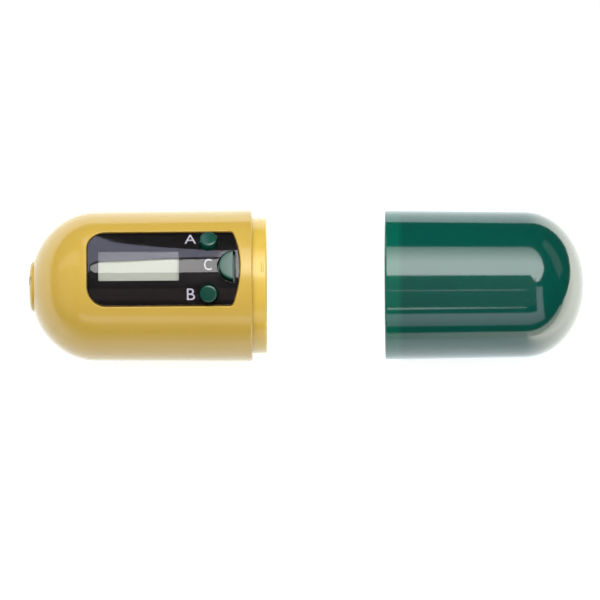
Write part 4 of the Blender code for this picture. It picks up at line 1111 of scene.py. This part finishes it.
crown_line = []
for i in range(41):
    share = math.sin(QUARTER * i / 40)
    rise = (1 - share**3) ** (1 / 3)
    crown_line.append((COVER_TIP_X + COVER_CROWN * (1 - rise), COVER_R * share))
cover_profile = [
    (COVER_BACK_X, 0),
    (COVER_BACK_X, SKIRT_R - SKIRT_WALL),
    (LUG_BACK_X, SKIRT_R - SKIRT_WALL),
    (LUG_BACK_X, SKIRT_R),
    (COVER_BACK_X, SKIRT_R),
    (COVER_BACK_X, COVER_R),
]
cover = turned("coin_slot_cover", cover_profile + crown_line[::-1], yellow, 128)
lying = TO_PANEL @ Matrix.Rotation(QUARTER, 4, "Y")
lug = prism("lug", circle(LUG_R, 64), LUG_BACK_X - 1.0 * MM, LUG_BACK_X, lying)
sides = [(-LUG_HALF, -8 * MM), (LUG_HALF, -8 * MM), (LUG_HALF, 8 * MM), (-LUG_HALF, 8 * MM)]
crossways = lying @ Matrix.Rotation(QUARTER, 4, "Z")
lug_sides = prism("lug_sides", sides, LUG_BACK_X - 3 * MM, LUG_BACK_X + 3 * MM, crossways)
cut(lug, lug_sides, "INTERSECT")
bore = circle(SKIRT_R - 0.5 * MM, 64)
cut(lug, prism("lug_bore", bore, LUG_BACK_X - 3 * MM, LUG_BACK_X + 3 * MM, lying))
cut(cover, lug, "UNION")
slot_box = [(-9 * MM, -SLOT_HALF), (9 * MM, -SLOT_HALF), (9 * MM, SLOT_HALF), (-9 * MM, SLOT_HALF)]
cut(cover, prism("slot", slot_box, COVER_TIP_X - 4 * MM, SLOT_FLOOR_X, lying))
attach(cover, "battery_cover")
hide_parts("battery_cover")


# Cap: a dark green moulding in glossy, slightly translucent plastic, open towards the neck. It
# tapers a little to its dome, and its rim is lightly rounded. Behind the mouth its colour is painted
# lighter, as painted light shining through the thin wall.
CAP_RIM_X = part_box("cap_shell")[0][0]
CAP_TIP_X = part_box("cap_shell")[1][0]
CAP_RIM_R = 17.40 * MM
CAP_DOME_R = 16.95 * MM
CAP_DOME_DEPTH = 14.11 * MM
CAP_DOME_X = CAP_TIP_X - CAP_DOME_DEPTH
CAP_MOUTH_R = 16.1 * MM
CAP_WALL = 1.3 * MM
CAP_LIP = 0.42 * MM
MOUTH_LIP = 0.15 * MM
SINGLE_WALL = 4.3 * MM


def cap_radius(x):
    """Outside radius of the cap at a place along the axis."""
    if x <= CAP_DOME_X:
        share = (x - CAP_RIM_X) / (CAP_DOME_X - CAP_RIM_X)
        return CAP_RIM_R + (CAP_DOME_R - CAP_RIM_R) * share
    return CAP_DOME_R * math.sqrt(max(0.0, 1 - ((x - CAP_DOME_X) / CAP_DOME_DEPTH) ** 2))


def painted_mouth_light(base):
    """Painted light: lighter green behind the mouth, as far as the wall stands alone in front of the
    pill cup.
    """
    left = SINGLE_WALL - (base.coordinate("X") - CAP_RIM_X)
    return (left * 700.0).clamped().mixed(base, (0.0, 0.128, 0.080, 1.0))


dark_green = moulded(
    "dark_green_plastic",
    (0.0, 0.087, 0.064),
    (0.0, 0.079, 0.058),
    0.10,
    peel=0.06,
    marks=0.08,
    uniform={
        "IOR": 1.6,
        "Subsurface Weight": 0.25,
        "Subsurface Radius": (0.1, 1.0, 0.7),
        "Subsurface Scale": 1.2 * MM,
    },
    # painted light: the first stretch behind the mouth is coloured a lighter green
    zoned=painted_mouth_light,
)
cap_profile = dome(CAP_DOME_X, CAP_DOME_DEPTH, CAP_DOME_R, steps=56)[::-1]
cap_profile += rim(CAP_RIM_X, CAP_RIM_R, CAP_LIP, 1)[::-1]
cap_profile += rim(CAP_RIM_X, CAP_MOUTH_R, -MOUTH_LIP, -1)
cap_profile += dome(CAP_DOME_X, CAP_DOME_DEPTH - CAP_WALL, CAP_DOME_R - CAP_WALL, steps=24)
cap = turned("cap", cap_profile, dark_green, 256)
true_normals(cap, cap_radius)
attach(cap, "cap")
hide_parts("cap_shell")


# Pill cup: a thin green cup pressed into the cap, short of its mouth by the length of the neck.
CUP_RIM_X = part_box("pill_cup")[0][0]
CUP_WALL = 1.2 * MM
CUP_FIT = 0.2 * MM
CUP_DOME_DEPTH = 11.2 * MM

cup_green = moulded("cup_green_plastic", (0.0, 0.155, 0.105), (0.0, 0.14, 0.095), 0.28)
bore_r = CAP_DOME_R - CAP_WALL
share = (CUP_RIM_X - CAP_RIM_X) / (CAP_DOME_X - CAP_RIM_X)
cup_r = CAP_MOUTH_R + share * (bore_r - CAP_MOUTH_R) - CUP_FIT
cup_profile = dome(CAP_DOME_X, CUP_DOME_DEPTH, bore_r - CUP_FIT, steps=24)[::-1]
cup_profile += [(CUP_RIM_X + 0.2 * MM, cup_r), (CUP_RIM_X, cup_r - 0.2 * MM)]
cup_profile += [(CUP_RIM_X, cup_r - CUP_WALL + 0.3 * MM), (CUP_RIM_X + 0.3 * MM, cup_r - CUP_WALL)]
cup_inner = dome(CAP_DOME_X, CUP_DOME_DEPTH - CUP_WALL, bore_r - CUP_FIT - CUP_WALL, steps=24)
cup = turned("pill_cup_moulding", cup_profile + cup_inner, cup_green, 192)
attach(cup, "cap")
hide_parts("pill_cup")


# Table: a plain white sheet, which keeps the soft shadow of the part. It ends a little behind the
# part and sweeps up far in front of it. The gloss mirrors it brighter at the cap's end, and dimmer
# with the distance.
TABLE_GLOW = 0.73
TABLE_DROP = 2e-5

floor_finish, tree = new_finish("white_table")
paper = tree.noise(700.0, 2.0)
white = paper.mixed((0.82, 0.82, 0.82, 1.0), (0.86, 0.86, 0.86, 1.0))
lit = tree.node("ShaderNodeBsdfDiffuse", None, {"Color": white})
seen = tree.node("ShaderNodeEmission", None, {"Strength": TABLE_GLOW}).added(lit)
to_the_right = ((tree.coordinate("X") - 0.050) * 14.0).clamped()
shine = to_the_right.mixed((0.92, 1.05, 1.12, 1.0), (5.4, 5.0, 4.4, 1.0))
place = tree.node("ShaderNodeTexCoord", outlet="Object")
span = tree.node("ShaderNodeVectorMath", {"operation": "LENGTH"}, {0: place}, "Value")
level = 1.0 - (span * span * 0.9).clamped() * 0.55
shining = tree.node("ShaderNodeEmission", None, {"Color": shine, "Strength": level}).added(lit)
mirrored = (tree.ray("Glossy") + tree.ray("Transmission")).clamped()
shader = mirrored.blended(tree.ray("Camera").blended(lit, seen), shining)
finished(floor_finish, shader, (0.9, 0.9, 0.9))
far_line = [(-2, 0.078), (0.055, 0.074), (0.103, 0.037), (0.154, 0.021), (0.242, -0.006), (4, -1.2)]
sweep = [(-1.5 - 0.2 * math.sin(t), 0.2 - 0.2 * math.cos(t)) for t in (0, 0.4, 0.8, 1.2, 1.57)]
sweep.append((-1.7, 0.32))
rows = [[(x, y, -TABLE_DROP) for x, y in far_line]]
rows += [[(x, y, z - TABLE_DROP) for x, _ in far_line] for y, z in sweep]
count = len(far_line)
mesh = bpy.data.meshes.new("table")
mesh.from_pydata(
    [point for row in rows for point in row],
    [],
    [
        (r * count + i, r * count + i + 1, (r + 1) * count + i + 1, (r + 1) * count + i)
        for r in range(len(rows) - 1)
        for i in range(count - 1)
    ],
)
mesh.materials.append(floor_finish)
mesh.shade_smooth()
table = new_object("table", mesh)


# Light: one large lamp from above and a white world light the part. The gloss doesn't show the lamp
# and hardly the world. It mirrors cards: a wide softbox over the far side, a violet one past its
# left end, a dim bluish one over the near side with a thin bright slit beside it, and faint ones
# round about.
WHITE = (1.0, 1.0, 1.0)
LAMP_PLACE = Vector((0.0, 0.46, 0.97))
LAMP_SIZE = 0.9
LAMP_POWER = 9.0

light = bpy.data.lights.new("top_lamp", "AREA")
light.size = LAMP_SIZE
light.energy = LAMP_POWER
top_lamp = new_object("top_lamp", light)
top_lamp.location = LAMP_PLACE
top_lamp.rotation_euler = LAMP_PLACE.to_track_quat("Z", "Y").to_euler()
top_lamp.visible_glossy = False


def card(name, columns, radiance, colour, fade=None, away=1.0):
    """What the gloss mirrors: a card round the axis, at each place along X from angle to angle.

    It may fade from one angle to another, down to a share of its radiance."""
    rows = 12
    points, angles = [], []
    for x, low, high in columns:
        for i in range(rows + 1):
            angle = low + (high - low) * i / rows
            angles.append(angle)
            turn = math.radians(angle)
            points.append((x, away * math.sin(turn), AXIS_Z + away * math.cos(turn)))
    faces = []
    for c in range(len(columns) - 1):
        for i in range(rows):
            k = c * (rows + 1) + i
            faces.append((k, k + 1, k + rows + 2, k + rows + 1))
    mesh = bpy.data.meshes.new(name)
    mesh.from_pydata(points, [], faces)
    heights = mesh.attributes.new("angle", "FLOAT", "POINT")
    heights.data.foreach_set("value", angles)
    glow, tree = new_finish(name)
    sockets = {"Color": (*colour, 1.0), "Strength": radiance}
    if fade:
        start, end, share = fade
        angle = tree.node("ShaderNodeAttribute", {"attribute_name": "angle"}, outlet="Fac")
        way = ((angle - start) / (end - start)).clamped()
        sockets["Color"] = way.mixed((*colour, 1.0), (*(share * c for c in colour), 1.0))
    finished(glow, tree.node("ShaderNodeEmission", None, sockets), colour)
    mesh.materials.append(glow)
    obj = new_object(name, mesh)
    obj.visible_camera = False
    obj.visible_diffuse = False
    obj.visible_shadow = False


far_softbox = [(-0.030, 17.3, 61), (-0.019, 14.4, 61), (0.22, 14.4, 61), (0.40, 6, 58)]
far_softbox += [(0.46, 3.5, 56), (0.62, 6, 50), (0.75, 14, 42), (0.86, 24, 32)]
card("far_softbox", far_softbox, 5.9, WHITE, (36, 60, 0.36))
softbox_end = [(-0.235, 28.4, 29.6), (-0.20, 24.5, 32.0), (-0.12, 21.5, 34.5)]
softbox_end += [(-0.0692, 20.6, 36.0), (-0.051, 20.6, 41.0), (-0.0395, 20.6, 41.3)]
softbox_end += [(-0.0385, 12, 55), (-0.030, 12, 56)]
card("far_softbox_end", softbox_end, 5.0, (1.0, 0.99, 0.98))
violet = [(-0.40, 20, 84), (-0.262, 22, 84), (-0.250, 33.0, 84), (-0.20, 35.5, 84)]
violet += [(-0.12, 38.0, 84), (-0.0707, 39.3, 84), (-0.0667, 40.3, 71.5), (-0.0625, 41.4, 67.2)]
violet += [(-0.0551, 43.4, 62), (-0.0474, 44.7, 58.3), (-0.042, 44.8, 56), (-0.0395, 44.9, 55.2)]
card("violet_card", violet, 2.5, (0.72, 0.73, 0.98))
card("left_window", [(-2.6, 54, 74), (-1.4, 46, 70), (-0.6, 36, 66)], 1.2, WHITE)
card("left_fill", [(-3.0, -60, 38), (-0.9, -60, 38)], 0.42, (1.0, 0.98, 0.94))
card("right_window", [(0.65, 72, 88), (1.9, 46, 88), (4.0, 20, 85)], 0.5, (1.0, 1.0, 0.95))
near_softbox = [(-0.6, -57, -46.5), (-0.02, -59, -46.5), (0.03, -67, -45.5)]
near_softbox += [(0.47, -67, -45.5), (0.475, -67, -4), (0.80, -67, -4)]
card("near_softbox", near_softbox, 1.9, (0.86, 0.82, 1.0), (-48, -66, 0.6))
near_slit = [(0.036, -38, -35.4), (0.058, -37.8, -35.7)]
near_slit += [(0.066, -37.1, -36.3), (0.078, -36.8, -36.6)]
card("near_slit", near_slit, 6.0, WHITE)
card("top_line", [(0.050, -9.2, -8.1), (0.078, -9.2, -8.1)], 4.0, WHITE, away=0.96)
overhead = [(-0.6, -22, -4), (-0.02, -22, -4), (0.04, -34, 11), (0.47, -34, 11)]
card("overhead", overhead, 0.25, (1.0, 0.78, 0.78))

world = bpy.data.worlds.new("studio")
bpy.context.scene.world = world
world.use_nodes = True
world.node_tree.nodes.clear()
tree = Wire(world.node_tree)
soft, dark, white = (
    tree.node("ShaderNodeBackground", None, {"Color": (*colour, 1.0), "Strength": strength})
    for colour, strength in ((WHITE, 0.46), ((0.9, 0.95, 1.0), 0.05), (WHITE, 1.0))
)
around = tree.ray("Camera").blended(tree.ray("Glossy").blended(soft, dark), white)
tree.node("ShaderNodeOutputWorld", None, {"Surface": around})


# Camera: straight above the capsule, five metres away, a hair out of line with it.
CAMERA_HEIGHT = 5.0
CAMERA_X = -1.74 * MM
CAMERA_Y = -3.4 * MM
CAMERA_TURN = math.radians(-0.25)
FIELD = 0.1395
SENSOR = 36.0

camera = bpy.data.cameras.new("camera")
camera.sensor_width = SENSOR
camera.lens = SENSOR * CAMERA_HEIGHT / FIELD
camera.clip_start = 0.01
camera_object = new_object("camera", camera)
camera_object.location = (CAMERA_X, CAMERA_Y, AXIS_Z + CAMERA_HEIGHT)
camera_object.rotation_euler = (0, 0, CAMERA_TURN)
bpy.context.scene.camera = camera_object

bpy.context.scene.view_settings.view_transform = "Standard"
